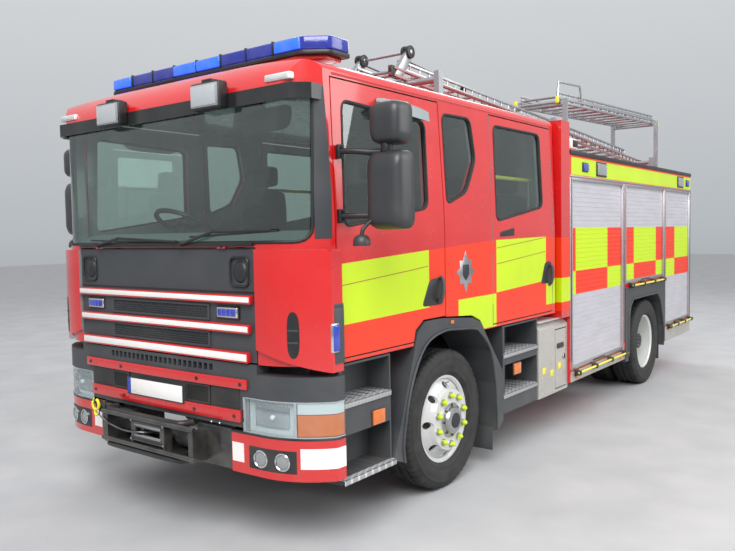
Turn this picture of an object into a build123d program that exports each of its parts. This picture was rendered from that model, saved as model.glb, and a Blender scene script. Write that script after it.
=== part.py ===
"""Crew-cab fire engine: chassis, cab, body and roof ladders as separate pieces.

+X is the vehicle's left, +Y is rearwards and +Z is up, all in millimetres. The
origin is on the ground, in the middle of the vehicle's overall box. Stations are
distances behind the grille's face, and y() turns one into a coordinate.
"""
import os
from math import atan, cos, pi, radians, sin

from build123d import *

os.makedirs("parts", exist_ok=True)

# Overall layout
WINCH_REACH = 140
LADDER_TAIL = 7660
GRILLE_Y = -(LADDER_TAIL - WINCH_REACH) / 2
FRONT_AXLE = 1500
WHEELBASE = 4250
REAR_AXLE = FRONT_AXLE + WHEELBASE
SEAM = 0.3
SHUT_GAP = 9
RUN_FIT = 0.08

# Wheels: 22.5 inch rims with 275/70 tyres, single in front and twin behind
TYRE_R = 479
TYRE_W = 276
TREAD_W = 232
BEAD_R = 286
BEAD_W = 190
FLANGE_R = 300
FLANGE_T = 9
FRONT_WHEEL_X = 1020
REAR_WHEEL_X = 1071
TWIN_PITCH = 310
STUD_FACE_OFFSET = TWIN_PITCH / 2
HAND_HOLES = 8
SPINDLE_R = 45

# Steering
KINGPIN_X = 850
KINGPIN_R = 25
FIST_R = 48
FIST_H = 126
STEER_ARM = 190
TRACK_ROD_R = 17

# Chassis frame
RAIL_X = 430
RAIL_H = 270
RAIL_FLANGE = 80
RAIL_T = 9
RAIL_BOTTOM = 640
RAIL_START = 230
RAIL_END = 7300
CROSSMEMBERS = (420, 2440, 3500, 4700, 6500, 7240)

# Cab
CAB_HALF_W = 1215
CAB_TUMBLE = 25
CAB_BELT = 1760
CAB_LENGTH = 3180
CAB_BOTTOM = 1055
CAB_EAVES = 2690
CAB_CROWN = 2755
CAB_WALL = 50
CAB_CORNER_X = 850
CAB_CORNER_END = 275
NOSE_SAG = 14
WINDSCREEN_SILL = 1727
VISOR_BOTTOM = 2480
HEADER_BOTTOM = 2562
WINDSCREEN_HALF = 1150
GLASS_T = 6
TUNNEL_HALF = 430
TUNNEL_TOP = 1400
TUNNEL_END = 1800
LID_HALF = 845
LID_TOP = 1694
LID_BOTTOM = 1062
LID_DEPTH = 62
LID_HINGE_S = -4

# Body
BODY_HALF = 1245
BODY_START = 3430
BODY_END = 7452
POST_START = 3250
BODY_BOTTOM = 405
BODY_ROOF = 2440
BODY_WALL = 32
BAND_BOTTOM = 2226
HEADBOARD_TOP = 2700
LOCKER_DEPTH = 600
WELL_START = 4896
WELL_END = 6291
WELL_TOP = 1150
DECK_Z = 1000
TUNNEL_BODY_HALF = 530

# Ladders
LADDER_X = 550
LADDER_W = 500
LADDER_DROP = 0.054
LADDER_HEAD = 1740
LADDER_HEAD_Z = 2940
STRING_W = 30
STRING_H = 78
RUNG_R = 15
RUNG_PITCH = 280
ROLLER_R = 26


def y(station):
    """Coordinate along the vehicle of a station behind the grille."""
    return GRILLE_Y + station


def side_plane(x):
    """Plane across the vehicle at x, drawn in (station + GRILLE_Y, height)."""
    return Plane(origin=(x, 0, 0), x_dir=(0, 1, 0), z_dir=(1, 0, 0))


def front_plane(station):
    """Plane facing forwards at a station, drawn in (x, height)."""
    return Plane(origin=(0, y(station), 0), x_dir=(1, 0, 0), z_dir=(0, -1, 0))


def stations(points):
    """Side-view points given as (station, height), as coordinates."""
    return [(y(s), z) for s, z in points]


def block(x, s, z):
    """Box from its (low, high) spans across, along by station, and up."""
    with BuildPart() as made:
        with BuildSketch(Plane.XY.offset(z[0])):
            with Locations(((x[0] + x[1]) / 2, y((s[0] + s[1]) / 2))):
                Rectangle(x[1] - x[0], s[1] - s[0])
        extrude(amount=z[1] - z[0])
    return made.part


def side_slab(points, x):
    """Side-view polygon of (station, height) points, solid over an x span."""
    with BuildPart() as made:
        with BuildSketch(side_plane(x[0])):
            with BuildLine():
                Polyline(*stations(points), close=True)
            make_face()
        extrude(amount=x[1] - x[0])
    return made.part


def front_slab(points, s):
    """Front-view polygon of (x, height) points, solid over a station span."""
    with BuildPart() as made:
        with BuildSketch(front_plane(s[1])):
            with BuildLine():
                Polyline(*points, close=True)
            make_face()
        extrude(amount=s[1] - s[0])
    return made.part


def rod(start, end, radius):
    """Round bar between two (x, station, z) points."""
    a = Vector(start[0], y(start[1]), start[2])
    b = Vector(end[0], y(end[1]), end[2])
    with BuildPart() as made:
        with BuildSketch(Plane(origin=a, z_dir=b - a)):
            Circle(radius)
        extrude(amount=(b - a).length)
    return made.part


def mirrored(part):
    """The same piece on the vehicle's right."""
    return part.mirror(Plane.YZ)


def panels(part, spans):
    """Separate panels of one finished shell, cut out by (x, station, z) spans."""
    cut = [part & block(x, s, z) for x, s, z in spans]
    return [panel for panel in cut if panel.volume > 0]


def save(part, label):
    """Name a finished piece and write its file."""
    part.label = label
    export_step(part, f"parts/{label}.step")


# Wheels

def axle_plane(x, station):
    """Plane through a wheel's centre, drawn in (offset across, radius)."""
    return Plane(origin=(x, y(station), TYRE_R), x_dir=(1, 0, 0), z_dir=(0, -1, 0))


def spin_axis(x, station):
    """The axis that a wheel turns about."""
    return Axis((x, y(station), TYRE_R), (1, 0, 0))


def tyre(x, station):
    """One tyre, solid from its beads to its tread."""
    half = BEAD_W / 2
    shoulder = TREAD_W / 2
    rise = FLANGE_R + 2 * SEAM
    with BuildPart() as made:
        with BuildSketch(axle_plane(x, station)):
            with BuildLine():
                Polyline((-half - 12, rise), (-half, rise), (-half, BEAD_R), (half, BEAD_R),
                         (half, rise), (half + 12, rise))
                ThreePointArc((half + 12, rise), (TYRE_W / 2, 380), (shoulder + 8, TYRE_R - 20))
                Polyline((shoulder + 8, TYRE_R - 20), (shoulder - 8, TYRE_R),
                         (8 - shoulder, TYRE_R), (-shoulder - 8, TYRE_R - 20))
                ThreePointArc((-shoulder - 8, TYRE_R - 20), (-TYRE_W / 2, 380), (-half - 12, rise))
            make_face()
        revolve(axis=spin_axis(x, station))
    return made.part


def rim(x, station, dish):
    """One steel rim, its disc carried to the stud face by dish (+1 out, -1 in)."""
    seat = BEAD_R - SEAM
    half = BEAD_W / 2 + SEAM
    lip = half + FLANGE_T
    well = seat - 12
    face = STUD_FACE_OFFSET * dish
    with BuildPart() as made:
        with BuildSketch(axle_plane(x, station)):
            with BuildLine():
                Polyline((-lip, FLANGE_R), (-half, FLANGE_R), (-half, seat), (half, seat),
                         (half, FLANGE_R), (lip, FLANGE_R), (lip, FLANGE_R - 12),
                         (half - 4, well), (4 - half, well), (-lip, FLANGE_R - 12), close=True)
            make_face()
            with BuildLine():
                Polyline((face - 95 * dish, well + 4), (face - 78 * dish, well + 4),
                         (face - 30 * dish, 226), (face, 206), (face, 100),
                         (face - 12 * dish, 100), (face - 12 * dish, 198),
                         (face - 40 * dish, 214), (face - 95 * dish, 258), close=True)
            make_face()
        revolve(axis=spin_axis(x, station))
        hole_plane = Plane(origin=(x, y(station), TYRE_R), x_dir=(0, 1, 0), z_dir=(dish, 0, 0))
        with BuildSketch(hole_plane):
            with PolarLocations(233, HAND_HOLES):
                Circle(26)
        extrude(amount=STUD_FACE_OFFSET + 20, mode=Mode.SUBTRACT)
    return made.part


def hub(x, station, steps, bore_end):
    """Stepped round hub from (x low, x high, radius) steps, bored for its spindle."""
    bore_start = min(low for low, high, radius in steps)
    with BuildPart() as made:
        for low, high, radius in steps:
            with BuildSketch(Plane(origin=(low, y(station), TYRE_R), z_dir=(1, 0, 0))):
                Circle(radius)
            extrude(amount=high - low)
        with BuildSketch(Plane(origin=(bore_start, y(station), TYRE_R), z_dir=(1, 0, 0))):
            Circle(SPINDLE_R + RUN_FIT)
        extrude(amount=bore_end - bore_start, mode=Mode.SUBTRACT)
    return made.part


FRONT_STUD_X = FRONT_WHEEL_X + STUD_FACE_OFFSET
HUB_START = 946
FRONT_BORE_END = FRONT_STUD_X - 12
FRONT_HUB_STEPS = (
    (HUB_START, HUB_START + 44, 208),
    (HUB_START + 44, FRONT_STUD_X - 12, 84),
    (FRONT_STUD_X - 12, FRONT_STUD_X + 6, 118),
    (FRONT_STUD_X + 6, FRONT_STUD_X + 36, 82),
)
with BuildPart() as front_left_rim:
    add(rim(FRONT_WHEEL_X, FRONT_AXLE, 1))
    add(hub(FRONT_WHEEL_X, FRONT_AXLE, FRONT_HUB_STEPS, FRONT_BORE_END))
save(front_left_rim.part, "front_left_rim")
save(mirrored(front_left_rim.part), "front_right_rim")

with BuildPart() as front_left_tyre:
    add(tyre(FRONT_WHEEL_X, FRONT_AXLE))
save(front_left_tyre.part, "front_left_tyre")
save(mirrored(front_left_tyre.part), "front_right_tyre")

REAR_INNER_X = REAR_WHEEL_X - TWIN_PITCH
REAR_STUD_X = REAR_WHEEL_X - STUD_FACE_OFFSET
REAR_BORE_END = REAR_STUD_X + 150
REAR_HUB_STEPS = (
    (REAR_INNER_X - 90, REAR_STUD_X - 14, 212),
    (REAR_STUD_X - 14, REAR_STUD_X + 14, 118),
    (REAR_STUD_X + 14, REAR_STUD_X + 120, 100),
    (REAR_STUD_X + 120, REAR_STUD_X + 200, 84),
)
with BuildPart() as rear_left_rims:
    add(rim(REAR_WHEEL_X, REAR_AXLE, -1))
    add(rim(REAR_INNER_X, REAR_AXLE, 1))
    add(hub(REAR_WHEEL_X, REAR_AXLE, REAR_HUB_STEPS, REAR_BORE_END))
save(rear_left_rims.part, "rear_left_rims")
save(mirrored(rear_left_rims.part), "rear_right_rims")

with BuildPart() as rear_left_tyres:
    add(tyre(REAR_WHEEL_X, REAR_AXLE))
    add(tyre(REAR_INNER_X, REAR_AXLE))
save(rear_left_tyres.part, "rear_left_tyres")
save(mirrored(rear_left_tyres.part), "rear_right_tyres")

# Axles and steering

SPRING_X = 390
SPRING_W = 70
SPRING_T = 48


def leaf_spring(station, half_length, seat_z, hanger_z, x):
    """Bowed spring pack under a rail, with a hanger block up to it at each end."""
    tips = (station - half_length, station + half_length)
    with BuildPart() as made:
        with BuildSketch(side_plane(x - SPRING_W / 2)):
            with BuildLine():
                low = [(y(tips[0]), hanger_z), (y(station), seat_z), (y(tips[1]), hanger_z)]
                high = [(py, pz + SPRING_T) for py, pz in reversed(low)]
                ThreePointArc(*low)
                Line(low[2], high[0])
                ThreePointArc(*high)
                Line(high[2], low[0])
            make_face()
        extrude(amount=SPRING_W)
        for tip, inward in zip(tips, (1, -1)):
            hanger = sorted((tip, tip + 70 * inward))
            add(block((x - SPRING_W / 2, x + SPRING_W / 2), hanger,
                      (hanger_z - 10, RAIL_BOTTOM - SEAM)))
    return made.part


BEAM_HALF_S = 42
BEAM_TOP = TYRE_R - 24
BEAM_H = 78
with BuildPart() as front_axle:
    with BuildSketch(front_plane(FRONT_AXLE + BEAM_HALF_S)):
        with BuildLine():
            Polyline((-KINGPIN_X, TYRE_R - 38), (-KINGPIN_X, TYRE_R + 38), (-690, TYRE_R + 30),
                     (-560, BEAM_TOP), (560, BEAM_TOP), (690, TYRE_R + 30),
                     (KINGPIN_X, TYRE_R + 38), (KINGPIN_X, TYRE_R - 38), (700, TYRE_R - 46),
                     (570, BEAM_TOP - BEAM_H), (-570, BEAM_TOP - BEAM_H), (-700, TYRE_R - 46),
                     close=True)
        make_face()
    extrude(amount=2 * BEAM_HALF_S)
    for side in (-1, 1):
        pivot = Plane(origin=(side * KINGPIN_X, y(FRONT_AXLE), TYRE_R - FIST_H / 2))
        with BuildSketch(pivot):
            Circle(FIST_R)
        extrude(amount=FIST_H)
        with BuildSketch(pivot):
            Circle(KINGPIN_R + RUN_FIT)
        extrude(amount=FIST_H, mode=Mode.SUBTRACT)
        add(block((side * SPRING_X - 45, side * SPRING_X + 45), (FRONT_AXLE - 60, FRONT_AXLE + 60),
                  (BEAM_TOP - 8, BEAM_TOP + 8)))
        add(leaf_spring(FRONT_AXLE, 760, BEAM_TOP + 4, 560, side * SPRING_X))
save(front_axle.part, "front_axle")

LUG_T = 36
LUG_GAP = 7
PLATE_X = KINGPIN_X + 62
ARM_Z = TYRE_R - FIST_H / 2 - LUG_GAP - LUG_T
with BuildPart() as steering_knuckle_left:
    lug_low = TYRE_R - FIST_H / 2 - LUG_GAP - LUG_T
    lug_high = TYRE_R + FIST_H / 2 + LUG_GAP
    for z in (lug_low, lug_high):
        with BuildSketch(Plane.XY.offset(z)):
            with Locations((KINGPIN_X, y(FRONT_AXLE))):
                Circle(FIST_R)
            with Locations(((KINGPIN_X + PLATE_X + 20) / 2, y(FRONT_AXLE))):
                Rectangle(PLATE_X + 20 - KINGPIN_X, 2 * FIST_R)
        extrude(amount=LUG_T)
    add(block((PLATE_X, PLATE_X + 28), (FRONT_AXLE - 62, FRONT_AXLE + 62),
              (lug_low, lug_high + LUG_T)))
    with BuildSketch(Plane.XY.offset(lug_low)):
        with Locations((KINGPIN_X, y(FRONT_AXLE))):
            Circle(KINGPIN_R)
    extrude(amount=lug_high + LUG_T - lug_low)
    add(rod((PLATE_X + 4, FRONT_AXLE, TYRE_R), (FRONT_BORE_END - 4, FRONT_AXLE, TYRE_R), SPINDLE_R))
    add(block((KINGPIN_X - 20, KINGPIN_X + 20), (FRONT_AXLE, FRONT_AXLE + STEER_ARM),
              (ARM_Z, ARM_Z + 30)))
    with BuildSketch(Plane.XY.offset(ARM_Z)):
        with Locations((KINGPIN_X, y(FRONT_AXLE + STEER_ARM))):
            Circle(24)
    extrude(amount=30)
    with BuildSketch(Plane.XY.offset(ARM_Z - 44)):
        with Locations((KINGPIN_X, y(FRONT_AXLE + STEER_ARM))):
            Circle(9)
    extrude(amount=50)
save(steering_knuckle_left.part, "steering_knuckle_left")
save(mirrored(steering_knuckle_left.part), "steering_knuckle_right")

TRACK_ROD_Z = ARM_Z - 24
with BuildPart() as track_rod:
    add(rod((-KINGPIN_X + 20, FRONT_AXLE + STEER_ARM, TRACK_ROD_Z),
            (KINGPIN_X - 20, FRONT_AXLE + STEER_ARM, TRACK_ROD_Z), TRACK_ROD_R))
    for side in (-1, 1):
        eye = Plane(origin=(side * KINGPIN_X, y(FRONT_AXLE + STEER_ARM), TRACK_ROD_Z - 19))
        with BuildSketch(eye):
            Circle(30)
        extrude(amount=38)
        with BuildSketch(eye):
            Circle(9 + RUN_FIT)
        extrude(amount=38, mode=Mode.SUBTRACT)
save(track_rod.part, "track_rod")

DRUM_GAP = 6
with BuildPart() as rear_axle:
    add(rod((-REAR_INNER_X + 90 + DRUM_GAP, REAR_AXLE, TYRE_R),
            (REAR_INNER_X - 90 - DRUM_GAP, REAR_AXLE, TYRE_R), 78))
    with BuildSketch(front_plane(REAR_AXLE + 150)):
        with Locations((0, TYRE_R)):
            Circle(205)
    extrude(amount=290)
    add(rod((0, REAR_AXLE - 130, TYRE_R), (0, REAR_AXLE - 330, TYRE_R + 10), 84))
    add(rod((0, REAR_AXLE - 300, TYRE_R + 8), (0, 2320, 640), 48))
    for side in (-1, 1):
        add(rod((side * (REAR_INNER_X - 90 - DRUM_GAP - 4), REAR_AXLE, TYRE_R),
                (side * (REAR_BORE_END - 4), REAR_AXLE, TYRE_R), SPINDLE_R))
        add(block((side * SPRING_X - 45, side * SPRING_X + 45), (REAR_AXLE - 70, REAR_AXLE + 70),
                  (TYRE_R, TYRE_R + 84)))
        add(leaf_spring(REAR_AXLE, 700, TYRE_R + 66, 585, side * SPRING_X))
save(rear_axle.part, "rear_axle")

# Chassis frame, engine and fuel tank

with BuildPart() as chassis_frame:
    for side in (-1, 1):
        web = sorted((side * RAIL_X, side * (RAIL_X - RAIL_T)))
        lip = sorted((side * RAIL_X, side * (RAIL_X - RAIL_FLANGE)))
        add(block(web, (RAIL_START, RAIL_END), (RAIL_BOTTOM, RAIL_BOTTOM + RAIL_H)))
        for z in (RAIL_BOTTOM, RAIL_BOTTOM + RAIL_H - RAIL_T):
            add(block(lip, (RAIL_START, RAIL_END), (z, z + RAIL_T)))
    for station in CROSSMEMBERS:
        add(block((-RAIL_X + 4, RAIL_X - 4), (station - 30, station + 30),
                  (RAIL_BOTTOM + 70, RAIL_BOTTOM + RAIL_H - 30)))
save(chassis_frame.part, "chassis_frame")

ENGINE_HALF = 330
ENGINE_FEET = ((700, 800), (1280, 1380))
with BuildPart() as engine_block:
    add(block((-ENGINE_HALF, ENGINE_HALF), (520, 1540), (RAIL_BOTTOM - 20, 1330)))
    chamfer(engine_block.edges().filter_by(Axis.Y).group_by(Axis.Z)[-1], 70)
    add(rod((0, 1540, 760), (0, 2300, 710), 190))
    for start, end in ENGINE_FEET:
        add(block((SEAM + RAIL_T - RAIL_X, RAIL_X - RAIL_T - SEAM), (start, end), (700, 780)))
save(engine_block.part, "engine_block")

TANK_START = 2840
TANK_END = 3400
with BuildPart() as fuel_tank:
    with BuildSketch(front_plane(TANK_END)):
        with Locations((-925, 670)):
            RectangleRounded(560, 540, 110)
    extrude(amount=TANK_END - TANK_START)
    for station in (TANK_START + 120, TANK_END - 160):
        with BuildSketch(front_plane(station + 40)):
            with Locations((-925, 670)):
                RectangleRounded(568, 548, 114)
        extrude(amount=40)
        add(block((-650, -RAIL_X - SEAM), (station, station + 40), (RAIL_BOTTOM + 20, 850)))
    with BuildSketch(Plane(origin=(-1120, y(TANK_START + 60), 900), z_dir=(-1, 0, 1))):
        Circle(45)
    extrude(amount=60)
save(fuel_tank.part, "fuel_tank")

# Cab: an outer form cut from front, side and plan outlines, less the same form inset

CORNER_MID = (1092, 92)
HEADER_BACK = 55


def cab_form(inset):
    """Solid cab volume, with every outer face moved inwards by inset."""
    half = CAB_HALF_W - inset
    top_half = half - CAB_TUMBLE
    bottom = CAB_BOTTOM + inset
    eaves = CAB_EAVES - inset
    crown = CAB_CROWN - inset
    with BuildPart() as form:
        with BuildSketch(front_plane(CAB_LENGTH - inset)):
            with BuildLine():
                Polyline((-top_half, eaves - 60), (-half, CAB_BELT), (-half, bottom),
                         (half, bottom), (half, CAB_BELT), (top_half, eaves - 60))
                ThreePointArc((top_half, eaves - 60), (top_half - 14, eaves - 16),
                              (top_half - 60, eaves))
                ThreePointArc((top_half - 60, eaves), (0, crown), (60 - top_half, eaves))
                ThreePointArc((60 - top_half, eaves), (14 - top_half, eaves - 16),
                              (-top_half, eaves - 60))
            make_face()
        extrude(amount=CAB_LENGTH)
        with BuildSketch(Plane.XY.offset(CAB_BOTTOM)):
            with BuildLine():
                corner = CAB_CORNER_X - inset / 2
                end = (CAB_HALF_W - inset, y(CAB_CORNER_END + inset))
                mid = (CORNER_MID[0] - 0.7 * inset, y(CORNER_MID[1] + 0.8 * inset))
                front = (corner, y(NOSE_SAG + inset))
                ThreePointArc((-front[0], front[1]), (0, y(inset)), front)
                ThreePointArc(front, mid, end)
                Polyline(end, (end[0], y(CAB_LENGTH)), (-end[0], y(CAB_LENGTH)), (-end[0], end[1]))
                ThreePointArc((-end[0], end[1]), (-mid[0], mid[1]), (-front[0], front[1]))
            make_face()
        extrude(amount=CAB_CROWN, mode=Mode.INTERSECT)
        with BuildSketch(side_plane(-CAB_HALF_W)):
            with BuildLine():
                low = (y(inset), CAB_BOTTOM)
                belt = (y(inset), WINDSCREEN_SILL)
                brow = (y(HEADER_BACK + inset), HEADER_BOTTOM)
                roof = (y(HEADER_BACK + inset + 260), CAB_CROWN - inset + 2)
                rear = y(CAB_LENGTH - inset)
                Polyline((rear, CAB_BOTTOM), low, belt, brow)
                ThreePointArc(brow, (y(HEADER_BACK + inset + 74), CAB_CROWN - inset - 62), roof)
                Polyline(roof, (rear, CAB_CROWN - inset + 2), (rear, CAB_BOTTOM))
            make_face()
        extrude(amount=2 * CAB_HALF_W, mode=Mode.INTERSECT)
    return form.part


# Front wheel arch, in side view: outer and inner edge as (station, height)
ARCH_OUTER = ((763, 391), (854, 617), (1045, 1140), (1130, 1197), (1343, 1197), (1740, 1160),
              (1856, 1116), (2188, 715), (2197, 330))
ARCH_INNER = ((2099, 274), (2072, 640), (1990, 900), (1830, 1050), (1740, 1085), (1341, 1111),
              (1120, 1040), (960, 800), (871, 491), (879, 348))
ARCH_GAP = 8
ARCH_INNER_X = 870
ARCH_OUTER_X = 1222


def arch_clearance(x):
    """Volume over the front wheel that the cab leaves free for the arch."""
    top = ARCH_OUTER[3][1] + ARCH_GAP
    return side_slab(((2188 + ARCH_GAP, 300), (2188 + ARCH_GAP, 720), (1862, 1122 + ARCH_GAP),
                      (1744, 1168 + ARCH_GAP), (1345, top), (1126, top), (1037, 1144 + ARCH_GAP),
                      (846, 620), (846, 300)), x)


# Doors and windows in side view, as (station, height)
SILL = 1082
DOOR_TOP = 2608
FRONT_DOOR_EDGE = 275
REAR_DOOR_EDGE = 2062
ARCH_EDGE = ARCH_OUTER[3][1] + ARCH_GAP + 4
FRONT_DOOR = ((FRONT_DOOR_EDGE, SILL), (FRONT_DOOR_EDGE, DOOR_TOP), (1352, DOOR_TOP),
              (1387, 1930), (1387, ARCH_EDGE), (1122, ARCH_EDGE), (1031, ARCH_EDGE - 56),
              (1008, SILL))
REAR_DOOR = ((REAR_DOOR_EDGE, SILL), (REAR_DOOR_EDGE, DOOR_TOP), (3118, DOOR_TOP), (3140, 1900),
             (3122, SILL))
FRONT_WINDOW = ((345, 1803), (362, 2500), (1190, 2470), (1200, 1922))
REAR_WINDOW = ((2130, 1838), (2118, 2542), (2911, 2546), (2943, 1957))
QUARTER_WINDOW = ((1434, 1948), (1404, 2544), (1776, 2552), (1837, 2269), (1700, 2040))
WINDOW_R = 45


def side_blank(points, gap, side, corner=0):
    """Prism through one cab side, its outline grown by gap, or shrunk if negative."""
    span = sorted((side * (CAB_HALF_W - 2 * CAB_WALL), side * (CAB_HALF_W + 20)))
    with BuildPart() as blank:
        with BuildSketch(side_plane(span[0])) as outline:
            with BuildLine():
                Polyline(*stations(points), close=True)
            make_face()
            if corner:
                fillet(outline.vertices(), corner)
            if gap:
                offset(amount=gap, kind=Kind.INTERSECTION)
        extrude(amount=span[1] - span[0])
    return blank.part


cab_outer = cab_form(0)
cab_skin = cab_outer - cab_form(CAB_WALL)
glass_layer = cab_form(12) - cab_form(12 + GLASS_T)

# Hinges: knuckles on a pin, centred in the shut gap at the outer face
HINGE_PIN_R = 2.6
KNUCKLE_R = 4.2
KNUCKLE_L = 22
LEAF_SPANS = ((SEAM - KNUCKLE_L / 2, KNUCKLE_L / 2 - SEAM),)
POST_SPANS = ((-3 * KNUCKLE_L / 2, -KNUCKLE_L / 2), (KNUCKLE_L / 2, 3 * KNUCKLE_L / 2))
DOOR_HINGE_Z = (1260, 1640)


def hinge_half(plane, spans, web, leaf):
    """Knuckles on a hinge line, webbed to local (web x, web y) of their owner.

    The plane's z runs along the pin. A leaf's knuckle is bored, and a post's
    two knuckles hold the pin.
    """
    with BuildPart() as made:
        for low, high in spans:
            with BuildSketch(plane.offset(low)):
                Circle(KNUCKLE_R)
                with Locations((web[0] / 2, web[1] / 2)):
                    Rectangle(abs(web[0]), abs(web[1]))
            extrude(amount=high - low)
        with BuildSketch(plane.offset(spans[0][0])):
            Circle(HINGE_PIN_R + RUN_FIT if leaf else HINGE_PIN_R)
        extrude(amount=spans[-1][1] - spans[0][0], mode=Mode.SUBTRACT if leaf else Mode.ADD)
    return made.part


def hinge_plane(side, x, edge, z):
    """Plane of an upright hinge ahead of a door's edge: x inwards, y rearwards."""
    return Plane(origin=(side * x, y(edge - SHUT_GAP / 2), z),
                 x_dir=(-side, 0, 0), z_dir=(0, 0, -side))


FIREWALL_BACK = 115
WHEELHOUSE_TOP = 1250
HOUSE_INNER_X = 815
HOUSE_START = 800
HOUSE_END = 2240
TUNNEL_WALL = 45
WINDSCREEN = ((-WINDSCREEN_HALF, WINDSCREEN_SILL), (WINDSCREEN_HALF, WINDSCREEN_SILL),
              (WINDSCREEN_HALF + 10, VISOR_BOTTOM + 62), (-WINDSCREEN_HALF - 10, VISOR_BOTTOM + 62))


def windscreen_blank(gap):
    """Prism through the cab's front, the windscreen's outline grown by gap."""
    with BuildPart() as blank:
        with BuildSketch(front_plane(260)) as outline:
            with BuildLine():
                Polyline(*WINDSCREEN, close=True)
            make_face()
            fillet(outline.vertices(), 60)
            if gap:
                offset(amount=gap, kind=Kind.INTERSECTION)
        extrude(amount=400)
    return blank.part


# The finished shell is cut into panels, which meet at these seams
SIDE_SEAM_X = 1090
FRONT_SEAM_S = 165
BROW_SEAM_S = 335
ROOF_SEAM_Z = 2520
REAR_SEAM_S = CAB_LENGTH - CAB_WALL - 5
REACH = 9000
with BuildPart() as cab_shell:
    add(cab_skin)
    add(block((-870, 870), (CAB_WALL - 5, FIREWALL_BACK), (CAB_BOTTOM, WINDSCREEN_SILL - 20)))
    add(block((-TUNNEL_HALF - TUNNEL_WALL, TUNNEL_HALF + TUNNEL_WALL), (CAB_WALL, TUNNEL_END + TUNNEL_WALL),
              (CAB_BOTTOM, TUNNEL_TOP + TUNNEL_WALL)))
    add(block((-TUNNEL_HALF, TUNNEL_HALF), (FIREWALL_BACK, TUNNEL_END), (CAB_BOTTOM, TUNNEL_TOP)),
        mode=Mode.SUBTRACT)
    for side in (-1, 1):
        house = sorted((side * HOUSE_INNER_X, side * (CAB_HALF_W - CAB_WALL + 5)))
        clear = sorted((side * (ARCH_INNER_X - 10), side * (CAB_HALF_W + 20)))
        add(block(house, (HOUSE_START, HOUSE_END), (CAB_BOTTOM, WHEELHOUSE_TOP)))
        add(arch_clearance(clear), mode=Mode.SUBTRACT)
        add(side_blank(FRONT_DOOR, SHUT_GAP, side), mode=Mode.SUBTRACT)
        add(side_blank(REAR_DOOR, SHUT_GAP, side), mode=Mode.SUBTRACT)
        add(side_blank(QUARTER_WINDOW, 0, side, WINDOW_R), mode=Mode.SUBTRACT)
        for edge in (FRONT_DOOR_EDGE, REAR_DOOR_EDGE):
            for z in DOOR_HINGE_Z:
                add(hinge_half(hinge_plane(side, CAB_HALF_W, edge, z), POST_SPANS, (9, -8), False))
    add(windscreen_blank(0), mode=Mode.SUBTRACT)
    add(block((-LID_HALF - SHUT_GAP, LID_HALF + SHUT_GAP), (-60, LID_DEPTH + SHUT_GAP),
              (CAB_BOTTOM - 10, LID_TOP + SHUT_GAP)), mode=Mode.SUBTRACT)
    for side in (-1, 1):
        lid_post = Plane(origin=(side * 600, y(LID_HINGE_S), LID_TOP + SHUT_GAP / 2),
                         x_dir=(0, 1, 0), z_dir=(1, 0, 0))
        add(hinge_half(lid_post, POST_SPANS, (16, 8), False))
MIDDLE = (-SIDE_SEAM_X, SIDE_SEAM_X)
TUNNEL_ACROSS = (-TUNNEL_HALF - TUNNEL_WALL, TUNNEL_HALF + TUNNEL_WALL)
TUNNEL_BACK = TUNNEL_END + TUNNEL_WALL
BELOW_ROOF = (0, ROOF_SEAM_Z)
CAB_PANELS = [((SIDE_SEAM_X, REACH), (-REACH, REACH), (0, REACH)),
              ((-REACH, -SIDE_SEAM_X), (-REACH, REACH), (0, REACH)),
              (MIDDLE, (-REACH, BROW_SEAM_S), (ROOF_SEAM_Z, REACH)),
              (MIDDLE, (BROW_SEAM_S, REAR_SEAM_S), (ROOF_SEAM_Z, REACH)),
              (MIDDLE, (REAR_SEAM_S, REACH), (0, REACH)),
              (MIDDLE, (-REACH, FRONT_SEAM_S), BELOW_ROOF),
              (TUNNEL_ACROSS, (FRONT_SEAM_S, TUNNEL_BACK), BELOW_ROOF),
              (TUNNEL_ACROSS, (TUNNEL_BACK, REAR_SEAM_S), BELOW_ROOF)]
for side in (-1, 1):
    beside = sorted((side * TUNNEL_ACROSS[1], side * HOUSE_INNER_X))
    outer = sorted((side * HOUSE_INNER_X, side * SIDE_SEAM_X))
    CAB_PANELS.append((beside, (FRONT_SEAM_S, REAR_SEAM_S), BELOW_ROOF))
    for s in ((FRONT_SEAM_S, HOUSE_START), (HOUSE_START, HOUSE_END), (HOUSE_END, REAR_SEAM_S)):
        CAB_PANELS.append((outer, s, BELOW_ROOF))
save(Compound(children=panels(cab_shell.part, CAB_PANELS)), "cab_shell")

with BuildPart() as cab_glass:
    add(glass_layer)
    add(windscreen_blank(-SEAM), mode=Mode.INTERSECT)
windscreen_pane = cab_glass.part
panes = [side_blank(QUARTER_WINDOW, -SEAM, side, WINDOW_R) & glass_layer for side in (-1, 1)]
save(Compound(children=[windscreen_pane] + panes), "cab_glass")


# A door is cut into its lower panel and the members around its window
DOOR_NOSE_S = 340
POST_EDGE = 27
CORNER_RUN = 25
BACK_POST_EDGE = 40
SILL_EDGE = 20


def door_panels(window):
    """Spans of a door's lower panel and of the members around its window."""
    post = min(s for s, z in window) + POST_EDGE
    corner = post + CORNER_RUN
    back = max(s for s, z in window) - BACK_POST_EDGE
    low = min(z for s, z in window) - SILL_EDGE
    middle = (min(z for s, z in window) + max(z for s, z in window)) / 2
    across = (0, REACH)
    sill = CAB_BOTTOM + CAB_WALL
    spans = [(across, (-REACH, post), (low, REACH)), (across, (back, REACH), (low, REACH))]
    for z in ((0, sill), (sill, low)):
        spans.append((across, (-REACH, DOOR_NOSE_S), z))
        spans.append((across, (DOOR_NOSE_S, REACH), z))
    for z in ((low, middle), (middle, REACH)):
        spans.append((across, (post, corner), z))
        spans.append((across, (corner, back), z))
    return spans


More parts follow.
